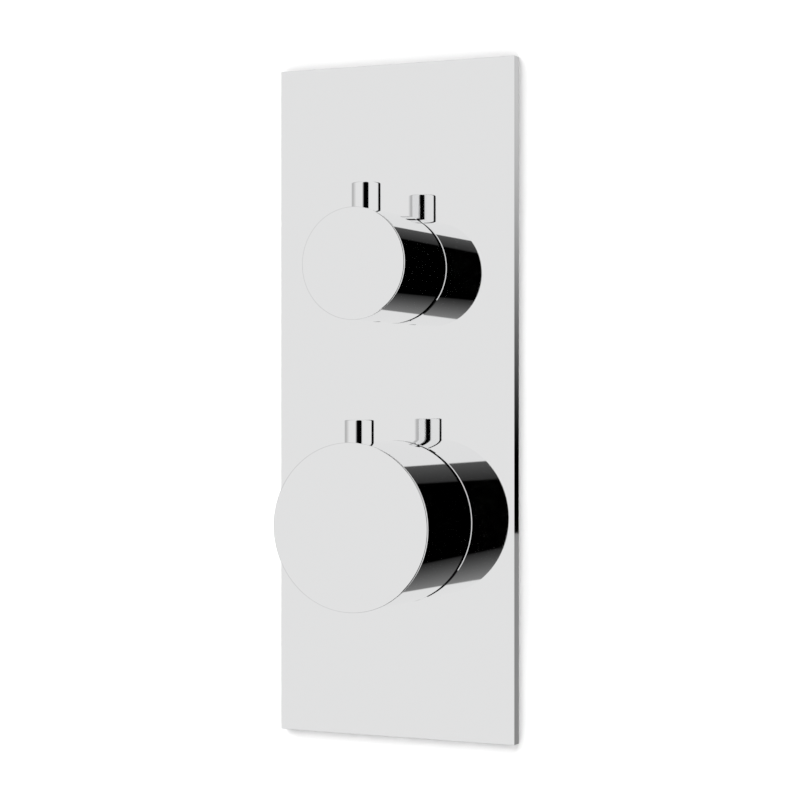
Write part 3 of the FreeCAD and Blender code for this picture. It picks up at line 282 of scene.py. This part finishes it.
def makeRoom():
    side, top, low, back = room["halfWidth"], room["top"], -room["floorDrop"], room["wallGap"]
    stagePlane("wall", [(-side, back, low), (side, back, low), (side, back, top), (-side, back, top)],
               room["wallLift"], True)
    stagePlane("floor", [(-side, -side, low), (side, -side, low), (side, side, low), (-side, side, low)],
               room["floorLift"], False)


makeWorld()
makeKeyLight()
makeRoom()
print("light tent and room made")


# Materials

noiseRange = (0.3, 0.7)     # where nearly all of a noise's values lie


def shadedMaterial(look, metallic):
    material, tree, output = newMaterial(look["name"])
    shader = addNode(tree, "ShaderNodeBsdfPrincipled", None, {"Metallic": metallic})
    plug(tree, shader.outputs[0], output.inputs["Surface"])
    return material, tree, shader.inputs, addNode(tree, "ShaderNodeTexCoord").outputs["Object"]


def bumped(tree, height, distance):
    return addNode(tree, "ShaderNodeBump", None, {"Height": height, "Distance": distance}).outputs[0]


# Faint polishing marks: a cloudy haze broken up by long upright hairlines
chromeLook = {"name": "mirrorChrome", "color": (0.955, 0.957, 0.96), "smoothest": 0.012, "roughest": 0.045,
              "haze": 9 * mm, "hairline": 0.12 * mm, "hairlineRun": (1.0, 1.0, 0.06),
              "hairlineDepth": 0.06 * micron, "markStart": 0.12, "markEnd": 0.45}


def makeChrome():
    look = chromeLook
    material, tree, surface, point = shadedMaterial(look, 1.0)
    haze = noise(tree, point, look["haze"], detail=6.0)
    hairline = noise(tree, stretched(tree, point, look["hairlineRun"]), look["hairline"], detail=2.0)
    marks = mathNode(tree, "MULTIPLY", haze, hairline)
    plug(tree, look["color"] + (1,), surface["Base Color"])
    plug(tree, mapped(tree, marks, look["markStart"], look["markEnd"], look["smoothest"], look["roughest"]),
         surface["Roughness"])
    plug(tree, bumped(tree, hairline, look["hairlineDepth"]), surface["Normal"])
    return material


# The back of the plate is left brushed, not polished
brushedLook = {"name": "brushedBack", "color": (0.60, 0.60, 0.595), "shade": (0.50, 0.50, 0.50),
               "shadeAt": 0.35, "colorAt": 0.62, "smoothest": 0.26, "roughest": 0.42, "streak": 0.35 * mm,
               "streakRun": (1.0, 1.0, 0.02), "streakShare": 0.6, "streakDepth": 1.5 * micron,
               "cloud": 30 * mm}


def makeBrushed():
    look = brushedLook
    material, tree, surface, point = shadedMaterial(look, 1.0)
    streak = noise(tree, stretched(tree, point, look["streakRun"]), look["streak"], roughness=0.6)
    cloud = noise(tree, point, look["cloud"], detail=3.0)
    tone = mathNode(tree, "MULTIPLY_ADD", cloud, 1 - look["streakShare"],
                    mathNode(tree, "MULTIPLY", streak, look["streakShare"]))
    plug(tree, colorRamp(tree, tone, look["shadeAt"], look["shade"], look["colorAt"], look["color"]),
         surface["Base Color"])
    plug(tree, mapped(tree, streak, *noiseRange, look["smoothest"], look["roughest"]), surface["Roughness"])
    plug(tree, bumped(tree, streak, look["streakDepth"]), surface["Normal"])
    return material


# Sand-cast skin, machined bright on the pipe ends' flats and on the faces that the bonnets seat on
castLook = {"name": "castBrass", "color": (0.70, 0.50, 0.22), "shade": (0.56, 0.38, 0.155),
            "blotch": 7 * mm, "shadeAt": 0.3, "colorAt": 0.65,
            "grain": 0.45 * mm, "grainDepth": 90 * micron, "roughest": 0.6, "smoothest": 0.425,
            "machined": (0.84, 0.66, 0.34), "machinedSmoothest": 0.16, "machinedRoughest": 0.26,
            "cutter": 0.3 * mm, "cutterRun": (0.15, 1.0, 0.15), "cutterDepth": 4 * micron,
            "flats": 16 * mm, "portReach": 22 * mm, "edge": 0.1 * mm}


def machinedZones(tree, point):
    depth = addNode(tree, "ShaderNodeSeparateXYZ", None, {"Vector": point}).outputs["Y"]
    zones = mathNode(tree, "LESS_THAN", depth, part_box("valve_body")[0].y + castLook["edge"])
    for port in ports:
        axis, middle = Vector(port["axis"]), Vector(port["pos_m"])
        end = middle.dot(axis) + port["dims"]["length_mm"] * mm / 2
        along = addNode(tree, "ShaderNodeVectorMath", {"operation": "DOT_PRODUCT"}, {
            0: point, 1: axis}).outputs["Value"]
        away = addNode(tree, "ShaderNodeVectorMath", {"operation": "DISTANCE"}, {
            0: point, 1: middle}).outputs["Value"]
        flats = mathNode(tree, "MULTIPLY", past(tree, along, end - castLook["flats"], castLook["edge"]),
                         mathNode(tree, "LESS_THAN", away, castLook["portReach"]))
        zones = mathNode(tree, "MAXIMUM", zones, flats)
    return zones


def makeCastBrass():
    look = castLook
    material, tree, surface, point = shadedMaterial(look, 1.0)
    machined = machinedZones(tree, point)
    blotch = noise(tree, point, look["blotch"], detail=5.0)
    grain = noise(tree, point, look["grain"], detail=5.0, roughness=0.65)
    cutter = noise(tree, stretched(tree, point, look["cutterRun"]), look["cutter"], detail=2.0)
    skin = colorRamp(tree, blotch, look["shadeAt"], look["shade"], look["colorAt"], look["color"])
    plug(tree, mixColors(tree, machined, skin, look["machined"] + (1,)), surface["Base Color"])
    skinRough = mapped(tree, grain, *noiseRange, look["roughest"], look["smoothest"])
    cutRough = mapped(tree, cutter, *noiseRange, look["machinedSmoothest"], look["machinedRoughest"])
    plug(tree, mixValues(tree, machined, skinRough, cutRough), surface["Roughness"])
    skinHeight = mathNode(tree, "MULTIPLY", grain, inverted(tree, machined))
    cutShare = mathNode(tree, "MULTIPLY", machined, look["cutterDepth"] / look["grainDepth"])
    height = mathNode(tree, "ADD", skinHeight, mathNode(tree, "MULTIPLY", cutter, cutShare))
    plug(tree, bumped(tree, height, look["grainDepth"]), surface["Normal"])
    return material


zincLook = {"name": "zincPlate", "color": (0.70, 0.72, 0.73), "shade": (0.60, 0.62, 0.635), "shadeAt": 0.2,
            "colorAt": 0.8, "spangle": 4 * mm, "spangleShare": 0.6, "smoothest": 0.27, "roughest": 0.40,
            "grain": 0.35 * mm, "grainDepth": 6 * micron}


def makeZinc():
    look = zincLook
    material, tree, surface, point = shadedMaterial(look, 1.0)
    crystal = addNode(tree, "ShaderNodeTexVoronoi", None, {
        "Vector": point, "Scale": 1 / look["spangle"]}).outputs["Color"]
    grain = noise(tree, point, look["grain"])
    tone = mathNode(tree, "MULTIPLY_ADD", crystal, look["spangleShare"],
                    mathNode(tree, "MULTIPLY", grain, 1 - look["spangleShare"]))
    plug(tree, colorRamp(tree, tone, look["shadeAt"], look["shade"], look["colorAt"], look["color"]),
         surface["Base Color"])
    plug(tree, mapped(tree, tone, look["shadeAt"], look["colorAt"], look["roughest"], look["smoothest"]),
         surface["Roughness"])
    plug(tree, bumped(tree, grain, look["grainDepth"]), surface["Normal"])
    return material


# Turned metals: a clouded colour, and fine rings left by the tool
turning = {"cloud": 4 * mm, "shade": 0.82, "shadeAt": 0.35, "colorAt": 0.65,
           "smoothest": 0.8, "roughest": 1.25, "wobble": 0.6, "wobbleDetail": 2.0, "ringDepth": 0.04,
           "waveTurn": 20}      # radians that Blender's wave turns through in a metre
turnedLooks = {
    "turned_brass": {"name": "turnedBrass", "color": (0.78, 0.60, 0.28),
                     "roughness": 0.22, "ring": 0.12 * mm},
    "stainless": {"name": "stainless", "color": (0.62, 0.62, 0.61),
                  "roughness": 0.28, "ring": 0.1 * mm},
}


def makeTurnedMetal(look):
    material, tree, surface, point = shadedMaterial(look, 1.0)
    cloud = noise(tree, point, turning["cloud"], detail=3.0)
    shade = tuple(channel * turning["shade"] for channel in look["color"])
    plug(tree, colorRamp(tree, cloud, turning["shadeAt"], shade, turning["colorAt"], look["color"]),
         surface["Base Color"])
    rings = addNode(tree, "ShaderNodeTexWave", {"wave_type": "BANDS", "bands_direction": "Y"}, {
        "Vector": point, "Scale": 1 / look["ring"] / turning["waveTurn"], "Distortion": turning["wobble"],
        "Detail": turning["wobbleDetail"]}).outputs["Fac"]
    plug(tree, mapped(tree, rings, 0.0, 1.0, look["roughness"] * turning["smoothest"],
                      look["roughness"] * turning["roughest"]), surface["Roughness"])
    plug(tree, bumped(tree, rings, look["ring"] * turning["ringDepth"]), surface["Normal"])
    return material


# Rubber, foam, plastics and ceramic: a slightly clouded colour under a fine grain
moulding = {"cloud": 12,    # how many grains wide a cloud is
            "colorAt": 0.35, "paleAt": 0.65, "roughest": 1.15, "smoothest": 0.85}
mouldedLooks = {
    "black_rubber": {"name": "blackRubber", "color": (0.016, 0.016, 0.017), "pale": (0.026, 0.026, 0.027),
                     "roughness": 0.6, "grain": 0.25 * mm, "grainDepth": 10 * micron},
    "foam": {"name": "foam", "color": (0.045, 0.045, 0.048), "pale": (0.08, 0.08, 0.085),
             "roughness": 0.95, "grain": 0.5 * mm, "grainDepth": 200 * micron},
    "white_plastic": {"name": "whitePlastic", "color": (0.76, 0.76, 0.73), "pale": (0.82, 0.82, 0.80),
                      "roughness": 0.42, "grain": 0.15 * mm, "grainDepth": 6 * micron},
    "dark_plastic": {"name": "darkPlastic", "color": (0.05, 0.05, 0.055), "pale": (0.08, 0.08, 0.085),
                     "roughness": 0.45, "grain": 0.15 * mm, "grainDepth": 8 * micron},
    "ceramic": {"name": "ceramic", "color": (0.82, 0.81, 0.77), "pale": (0.88, 0.87, 0.84),
                "roughness": 0.12, "grain": 0.08 * mm, "grainDepth": 1 * micron},
}


def makeMoulded(look):
    material, tree, surface, point = shadedMaterial(look, 0.0)
    cloud = noise(tree, point, look["grain"] * moulding["cloud"], detail=3.0)
    grain = noise(tree, point, look["grain"])
    plug(tree, colorRamp(tree, cloud, moulding["colorAt"], look["color"], moulding["paleAt"], look["pale"]),
         surface["Base Color"])
    roughest = min(1.0, look["roughness"] * moulding["roughest"])
    plug(tree, mapped(tree, grain, *noiseRange, roughest, look["roughness"] * moulding["smoothest"]),
         surface["Roughness"])
    plug(tree, bumped(tree, grain, look["grainDepth"]), surface["Normal"])
    return material


finishes = {"mirror_chrome": makeChrome(), "cast_brass": makeCastBrass(), "zinc_plate": makeZinc()}
finishes.update({slotName: makeTurnedMetal(look) for slotName, look in turnedLooks.items()})
finishes.update({slotName: makeMoulded(look) for slotName, look in mouldedLooks.items()})
brushedBack = makeBrushed()
for node, slotName in slotOf.items():
    slots = nodes[node].data.materials
    slots.clear()
    slots.append(finishes[slotName])
print("finishes given to the valve's own pieces")


# Mesh helpers. weld joins doubles, and smooth is the angle past which an edge stays sharp.

shaping = {"weld": 2 * micron, "smooth": 30.0}


def keepMesh(work, name):
    mesh = bpy.data.meshes.new(name)
    work.to_mesh(mesh)
    work.free()
    return mesh


def weldAndSmooth(mesh, angle=shaping["smooth"]):
    work = bmesh.new()
    work.from_mesh(mesh)
    bmesh.ops.remove_doubles(work, verts=work.verts, dist=shaping["weld"])
    bmesh.ops.recalc_face_normals(work, faces=work.faces)
    work.to_mesh(mesh)
    work.free()
    mesh.shade_smooth()
    mesh.set_sharp_from_angle(angle=math.radians(angle))


def addLoop(work, points):
    return [work.verts.new(point) for point in points]


def bridgeLoops(work, first, second):
    count = len(first)
    for i in range(count):
        work.faces.new((first[i], first[(i + 1) % count], second[(i + 1) % count], second[i]))


def closeStack(work, loops):
    for first, second in zip(loops, loops[1:]):
        bridgeLoops(work, first, second)
    work.faces.new(loops[0][::-1])
    work.faces.new(loops[-1])


def fillWithHoles(work, loops):
    corners = [corner for loop in loops for corner in loop]
    for triangle in tessellate_polygon([[corner.co for corner in loop] for loop in loops]):
        work.faces.new([corners[index] for index in triangle])


def turnsOf(count):
    return [2 * math.pi * i / count for i in range(count)]


# Points of a quarter round that starts on the side and ends on the face at station
def roundedCorner(radius, station, size, steps):
    turns = [math.radians(90 * i / steps) for i in range(steps + 1)]
    return [(radius - size + size * math.cos(turn), station - size + size * math.sin(turn)) for turn in turns]


# Lays a mesh down: what pointed up points into the wall, and what pointed away points up
def turnToAxis(mesh, station, height):
    for vertex in mesh.vertices:
        x, y, z = vertex.co
        vertex.co = (x, station + z, height + y)


def pointAlong(mesh, direction, origin):
    turn = Vector((0, 0, 1)).rotation_difference(direction).to_matrix().to_4x4()
    mesh.transform(Matrix.Translation(origin) @ turn)


# Geometry Nodes helpers

def newTree(title, sizes):
    tree = bpy.data.node_groups.new(title, "GeometryNodeTree")
    sockets = [("Source", "Geometry")] + sizes + [("Finish", "Material")]
    for name, kind in sockets:
        tree.interface.new_socket(name, in_out="INPUT", socket_type="NodeSocket" + kind)
    tree.interface.new_socket("Piece", in_out="OUTPUT", socket_type="NodeSocketGeometry")
    return tree, tree.nodes.new("NodeGroupInput").outputs


def finishTree(tree, given, shape):
    realized = addNode(tree, "GeometryNodeRealizeInstances", None, {0: shape})
    dressed = addNode(tree, "GeometryNodeSetMaterial", None, {
        0: realized.outputs[0], "Material": given["Finish"]})
    plug(tree, dressed.outputs[0], tree.nodes.new("NodeGroupOutput").inputs["Piece"])
    return tree


def applied(piece, modifier):
    bpy.context.view_layer.update()
    mesh = bpy.data.meshes.new_from_object(piece.evaluated_get(bpy.context.evaluated_depsgraph_get()))
    piece.modifiers.remove(modifier)
    piece.data = mesh
    return piece


def runTree(name, tree, source, values):
    piece = addPiece(name, source)
    modifier = piece.modifiers.new("made", "NODES")
    modifier.node_group = tree
    sockets = {item.name: item.identifier for item in tree.interface.items_tree if item.in_out == "INPUT"}
    for title, value in values.items():
        modifier[sockets[title]] = value
    return applied(piece, modifier)


# Knobs: each is turned on a lathe as a deep cup with a hub inside, and drilled from below for the key

knobShape = {"segments": 256, "wall": 3.0 * mm, "front": 4.0 * mm, "edgeBreak": 0.55 * mm, "edgeSteps": 4,
             "rearBreak": 0.3 * mm, "rearInset": 0.3 * mm,
             "hold": 0.04 * mm,     # how close a row stands to an edge break, which keeps the rest flat
             "hubBore": 9.0 * mm, "hubWall": 4.0 * mm, "hubBack": 21.5 * mm, "socketFloor": 29.25 * mm,
             "keyHole": 1.8 * mm, "keyHoleSegments": 32,
             "pole": 1 * micron, "poleWeld": 4 * micron}    # the path is a tiny circle, then welded shut


def makeLatheTree():
    tree, given = newTree("latheTurning", [("Segments", "Int"), ("Pole", "Float"), ("Pole Weld", "Float")])
    profile = addNode(tree, "GeometryNodeMeshToCurve", None, {0: given["Source"]})
    path = addNode(tree, "GeometryNodeCurvePrimitiveCircle", None, {
        "Resolution": given["Segments"], "Radius": given["Pole"]})
    swept = addNode(tree, "GeometryNodeCurveToMesh", None, {
        "Curve": path.outputs[0], "Profile Curve": profile.outputs[0]})
    welded = addNode(tree, "GeometryNodeMergeByDistance", None, {
        0: swept.outputs[0], "Distance": given["Pole Weld"]})
    return finishTree(tree, given, welded.outputs[0])


# A knob's outline from the socket's floor to the middle of its face, as (radius, station out of the wall)
def knobProfile(radius, front, back):
    edge, rear, hold = knobShape["edgeBreak"], knobShape["rearBreak"], knobShape["hold"]
    bore, hubBack, socketFloor = knobShape["hubBore"], knobShape["hubBack"], knobShape["socketFloor"]
    hub = bore + knobShape["hubWall"]
    inside = radius - knobShape["wall"]
    floor = front - knobShape["front"]
    points = [(0, socketFloor), (bore, socketFloor), (bore, hubBack), (hub, hubBack), (hub, floor),
              (inside, floor), (inside, back), (radius - rear - hold, back), (radius - rear, back),
              (radius, back + rear), (radius, back + rear + hold), (radius, front - edge - hold)]
    points += roundedCorner(radius, front, edge, knobShape["edgeSteps"])
    return points + [(radius - edge - hold, front), (0, front)]


def profileMesh(name, points):
    mesh = bpy.data.meshes.new(name)
    mesh.from_pydata([(x, y, 0) for x, y in points], [(i, i + 1) for i in range(len(points) - 1)], [])
    return mesh


def drillKeyHole(knob, station, height, depth):
    work = bmesh.new()
    radius = knobShape["keyHole"]
    place = Matrix.Translation((0, station, height - depth))
    bmesh.ops.create_cone(work, cap_ends=True, segments=knobShape["keyHoleSegments"], radius1=radius,
                          radius2=radius, depth=depth, matrix=place)
    drill = addPiece("drill", keepMesh(work, "drill"))
    cut = knob.modifiers.new("keyHole", "BOOLEAN")
    cut.operation = "DIFFERENCE"
    cut.solver = "EXACT"
    cut.object = drill
    applied(knob, cut)
    bpy.data.objects.remove(drill)
    weldAndSmooth(knob.data)


def makeKnob(control, latheTree):
    low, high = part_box(control + "_knob")
    radius, height = (high.x - low.x) / 2, (high.z + low.z) / 2
    points = knobProfile(radius, -low.y, -high.y + knobShape["rearInset"])
    knob = runTree(control + "Knob", latheTree, profileMesh(control + "Knob", points), {
        "Segments": knobShape["segments"], "Pole": knobShape["pole"], "Pole Weld": knobShape["poleWeld"],
        "Finish": finishes["mirror_chrome"]})
    turnToAxis(knob.data, 0, height)
    weldAndSmooth(knob.data)
    grubLow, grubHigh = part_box(control + "_grub_screw")
    drillKeyHole(knob, (grubLow.y + grubHigh.y) / 2, height, radius)
    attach(knob, control + "_control")
    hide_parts(control + "_knob")


def makeKnobs():
    latheTree = makeLatheTree()
    for control in controls:
        makeKnob(control, latheTree)


makeKnobs()
print("knobs turned, each with the key hole under it")


# Lever pegs: round, with a small edge break, and a foot that follows the knob's side

leverShape = {"segments": 128, "edgeBreak": 0.5 * mm, "edgeSteps": 4, "hold": 0.04 * mm,
              "footSunk": 0.05 * mm}


def makeLever(control):
    low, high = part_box(control + "_lever")
    knobLow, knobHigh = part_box(control + "_knob")
    knobRadius, axis = (knobHigh.x - knobLow.x) / 2, (knobHigh.z + knobLow.z) / 2
    radius, station, top = (high.x - low.x) / 2, (high.y + low.y) / 2, high.z
    edge, hold = leverShape["edgeBreak"], leverShape["hold"]
    rings = [(radius, None), (radius, top - edge - hold)]       # the foot's height follows the knob
    rings += roundedCorner(radius, top, edge, leverShape["edgeSteps"])
    rings.append((radius - edge - hold, top))
    work = bmesh.new()
    loops = []
    for r, z in rings:
        points = []
        for turn in turnsOf(leverShape["segments"]):
            x, y = r * math.cos(turn), r * math.sin(turn)
            foot = axis + math.sqrt(knobRadius ** 2 - x ** 2) - leverShape["footSunk"]
            points.append((x, station + y, foot if z is None else z))
        loops.append(addLoop(work, points))
    closeStack(work, loops)
    mesh = keepMesh(work, control + "Lever")
    mesh.materials.append(finishes["mirror_chrome"])
    weldAndSmooth(mesh)
    lever = addPiece(control + "Lever", mesh)
    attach(lever, control + "_control")
    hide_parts(control + "_lever")


for control in controls:
    makeLever(control)
print("levers made")


# Faceplate: the corners are crisper than the solid's, the sides draw in towards the front,
# and the back has the gasket's groove

plateShape = {"edgeBreak": 0.06 * mm, "sideDraft": 0.27 * mm, "gasketWidth": 3 * mm, "holeSegments": 96,
              "backNormal": 0.5}    # a face whose normal points further into the wall is the back


def rectangleLoop(work, halfWidth, halfHeight, station):
    corners = ((-1, -1), (1, -1), (1, 1), (-1, 1))
    return addLoop(work, [(x * halfWidth, station, z * halfHeight) for x, z in corners])


def circleLoop(work, radius, height, station):
    return addLoop(work, [(radius * math.cos(turn), station, height + radius * math.sin(turn))
                          for turn in turnsOf(plateShape["holeSegments"])])


def makePlateMesh():
    low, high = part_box("faceplate")
    gasketLow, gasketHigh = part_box("faceplate_gasket")
    halfWidth, halfHeight = (high.x - low.x) / 2, (high.z - low.z) / 2
    front, back, grooveFloor = low.y, high.y, gasketLow.y
    edge, draft = plateShape["edgeBreak"], plateShape["sideDraft"]
    work = bmesh.new()
    faceEdge = rectangleLoop(work, halfWidth - draft - edge, halfHeight - edge, front)
    sideFront = rectangleLoop(work, halfWidth - draft, halfHeight, front + edge)
    sideBack = rectangleLoop(work, halfWidth, halfHeight, back)
    rims, floors = [], []
    for inset in (0, plateShape["gasketWidth"]):
        rims.append(rectangleLoop(work, gasketHigh.x - inset, gasketHigh.z - inset, back))
        floors.append(rectangleLoop(work, gasketHigh.x - inset, gasketHigh.z - inset, grooveFloor))
    outline = [faceEdge, sideFront, sideBack, rims[0], floors[0], floors[1], rims[1]]
    for first, second in zip(outline, outline[1:]):
        bridgeLoops(work, first, second)
    frontHoles, backHoles = [], []
    for control in controls:
        sealLow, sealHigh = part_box(control + "_sleeve_seal")
        height = (sealHigh.z + sealLow.z) / 2
        frontHoles.append(circleLoop(work, sealHigh.x, height, front))
        backHoles.append(circleLoop(work, sealHigh.x, height, back))
        bridgeLoops(work, frontHoles[-1], backHoles[-1])
    fillWithHoles(work, [faceEdge] + frontHoles)
    fillWithHoles(work, [rims[1]] + backHoles)
    return keepMesh(work, "mirrorPlate")


def makePlate():
    mesh = makePlateMesh()
    mesh.materials.append(finishes["mirror_chrome"])
    mesh.materials.append(brushedBack)
    weldAndSmooth(mesh)
    for face in mesh.polygons:
        face.material_index = int(face.normal.y > plateShape["backNormal"])
    plate = addPiece("mirrorPlate", mesh)
    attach(plate, "fixed")
    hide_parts("faceplate")


makePlate()
print("plate cut")


# Threads in the four pipe ends: one tree sweeps a rounded ridge along a helix in each bore

threadShape = {"pitch": 1.814 * mm, "ridge": 0.42 * mm, "lead": 1.3 * mm, "turns": 7, "steps": 56, "sides": 8,
               "smooth": 60.0}


def makeThreadTree():
    tree, given = newTree("pipeThread", [("Radius", "Float"), ("Length", "Float"), ("Turns", "Float"),
                                         ("Steps", "Int"), ("Ridge", "Float"), ("Sides", "Int")])
    helix = addNode(tree, "GeometryNodeCurveSpiral", None, {
        "Resolution": given["Steps"], "Rotations": given["Turns"], "Start Radius": given["Radius"],
        "End Radius": given["Radius"], "Height": given["Length"]})
    section = addNode(tree, "GeometryNodeCurvePrimitiveCircle", None, {
        "Resolution": given["Sides"], "Radius": given["Ridge"]})
    swept = addNode(tree, "GeometryNodeCurveToMesh", None, {
        "Curve": helix.outputs[0], "Profile Curve": section.outputs[0], "Fill Caps": True})
    return finishTree(tree, given, swept.outputs[0])


def makeThreads():
    tree = makeThreadTree()
    length = threadShape["pitch"] * threadShape["turns"]
    for port in ports:
        axis, middle = Vector(port["axis"]), Vector(port["pos_m"])
        start = middle + axis * (port["dims"]["length_mm"] * mm / 2 - threadShape["lead"] - length)
        name = port["name"].split("_")[0] + "Thread"
        thread = runTree(name, tree, bpy.data.meshes.new(name), {
            "Radius": port["dims"]["r_mm"] * mm, "Length": length, "Turns": float(threadShape["turns"]),
            "Steps": threadShape["steps"], "Ridge": threadShape["ridge"], "Sides": threadShape["sides"],
            "Finish": finishes["turned_brass"]})
        pointAlong(thread.data, axis, start)
        weldAndSmooth(thread.data, threadShape["smooth"])
        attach(thread, "fixed")


makeThreads()
print("pipe threads cut")


# Gauze on each strainer: two crossed layers of round wires, each wire as long as the disc is wide there

gauzeShape = {"pitch": 0.8 * mm, "wire": 0.26 * mm, "sides": 6, "rimWall": 1.1 * mm, "disc": 1.0 * mm,
              "smooth": 40.0}
waterSides = {"cold": 1, "hot": -1}     # which way each inlet points along x


def makeGauzeTree():
    tree, given = newTree("wovenGauze", [("Radius", "Float"), ("Edge", "Float"), ("Wires", "Int"),
                                         ("Wire", "Float"), ("Sides", "Int")])
    ends = []
    for sign in (-1.0, 1.0):
        across = mathNode(tree, "MULTIPLY", given["Edge"], sign)
        ends.append(addNode(tree, "ShaderNodeCombineXYZ", None, {"X": across}).outputs[0])
    line = addNode(tree, "GeometryNodeMeshLine", {"mode": "END_POINTS"}, {
        "Count": given["Wires"], "Start Location": ends[0], "Offset": ends[1]})
    wire = addNode(tree, "GeometryNodeMeshCylinder", None, {
        "Vertices": given["Sides"], "Radius": given["Wire"], "Depth": 1.0})
    position = addNode(tree, "GeometryNodeInputPosition").outputs[0]
    across = addNode(tree, "ShaderNodeSeparateXYZ", None, {"Vector": position}).outputs["X"]
    reach = mathNode(tree, "SUBTRACT", mathNode(tree, "MULTIPLY", given["Radius"], given["Radius"]),
                     mathNode(tree, "MULTIPLY", across, across))
    length = mathNode(tree, "MULTIPLY", mathNode(tree, "SQRT", reach), 2.0)
    size = addNode(tree, "ShaderNodeCombineXYZ", None, {"X": 1.0, "Y": 1.0, "Z": length})
    layer = addNode(tree, "GeometryNodeInstanceOnPoints", None, {
        "Points": line.outputs[0], "Instance": wire.outputs[0], "Rotation": (math.pi / 2, 0, 0),
        "Scale": size.outputs[0]})
    lift = addNode(tree, "ShaderNodeCombineXYZ", None, {"Z": given["Wire"]})
    crossing = addNode(tree, "GeometryNodeTransform", None, {
        "Geometry": layer.outputs[0], "Translation": lift.outputs[0], "Rotation": (0, 0, math.pi / 2)})
    both = tree.nodes.new("GeometryNodeJoinGeometry")
    for half in (layer, crossing):
        plug(tree, half.outputs[0], both.inputs[0])
    return finishTree(tree, given, both.outputs[0])


def makeGauzes():
    tree = makeGauzeTree()
    for water, side in waterSides.items():
        low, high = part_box(water + "_strainer")
        radius = (high.z - low.z) / 2 - gauzeShape["rimWall"]
        inner = low.x if side > 0 else high.x
        name = water + "Gauze"
        gauze = runTree(name, tree, bpy.data.meshes.new(name), {
            "Radius": radius, "Edge": radius - gauzeShape["pitch"] / 2, "Wire": gauzeShape["wire"] / 2,
            "Wires": round(2 * radius / gauzeShape["pitch"]), "Sides": gauzeShape["sides"],
            "Finish": finishes["stainless"]})
        place = (low + high) / 2
        place.x = inner + side * (gauzeShape["disc"] + gauzeShape["wire"] / 2)
        pointAlong(gauze.data, Vector((side, 0, 0)), place)
        weldAndSmooth(gauze.data, gauzeShape["smooth"])
        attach(gauze, "fixed")


makeGauzes()
print("strainers covered with gauze")


# Bracket screws: countersunk heads with a hexagon socket, set out by one tree

screwShape = {"head": 4.9 * mm, "headHeight": 2.5 * mm, "edge": 0.15 * mm, "shank": 2.5 * mm,
              "socketAcross": 3.0 * mm, "socketDepth": 1.6 * mm, "segments": 48}


def hexagonRadius(turn):
    sixth = math.pi / 3
    return screwShape["socketAcross"] / 2 / math.cos((turn + sixth / 2) % sixth - sixth / 2)


def makeScrewMesh(length):
    head, shank, edge = screwShape["head"], screwShape["shank"], screwShape["edge"]
    rings = [(None, -screwShape["socketDepth"]), (None, 0), (head - edge, 0), (head, -edge),
             (shank, -screwShape["headHeight"]), (shank, -length + edge), (shank - edge, -length)]
    work = bmesh.new()
    loops = []
    for radius, station in rings:       # a ring without a radius is the socket's hexagon
        points = []
        for turn in turnsOf(screwShape["segments"]):
            r = hexagonRadius(turn) if radius is None else radius
            points.append((r * math.cos(turn), r * math.sin(turn), station))
        loops.append(addLoop(work, points))
    closeStack(work, loops)
    return keepMesh(work, "bracketScrew")


def makeScrewTree():
    tree, given = newTree("screwSetting", [("Across", "Float"), ("Rise", "Float")])
    corners = addNode(tree, "GeometryNodeMeshGrid", None, {
        "Size X": given["Across"], "Size Y": given["Rise"], "Vertices X": 2, "Vertices Y": 2})
    screws = addNode(tree, "GeometryNodeInstanceOnPoints", None, {
        "Points": corners.outputs[0], "Instance": given["Source"]})
    return finishTree(tree, given, screws.outputs[0])


def makeBracketScrews():
    low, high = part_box("bracket_screws")
    head = screwShape["head"]
    screws = runTree("bracketScrews", makeScrewTree(), makeScrewMesh(high.y - low.y), {
        "Across": high.x - low.x - 2 * head, "Rise": high.z - low.z - 2 * head,
        "Finish": finishes["stainless"]})
    turnToAxis(screws.data, high.y, (high.z + low.z) / 2)
    weldAndSmooth(screws.data)
    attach(screws, "fixed")
    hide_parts("bracket_screws")


makeBracketScrews()
print("bracket screws set")


# Springs that a joint works: welded, smooth-shaded copies of the solids. The fixed and the moving end are worked
# out but not used.

def makeSpring(given):
    letter = given["mode"][-1]      # a mode is named like scale_x
    axis = "xyz".index(letter)
    low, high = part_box(given["node"])
    start = (low + high) / 2
    end = start.copy()
    start[axis] = given["fixed_end_" + letter + "_m"]
    end[axis] = low[axis] + high[axis] - start[axis]
    mesh = nodes[given["node"]].data.copy()
    weldAndSmooth(mesh)
    words = given["node"].split("_")
    spring = addPiece(words[0] + "".join(word.title() for word in words[1:]), mesh)
    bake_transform(spring)
    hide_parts(given["node"])


for joint in frame["joints"]:
    for given in joint.get("deforming_nodes", []):
        makeSpring(given)
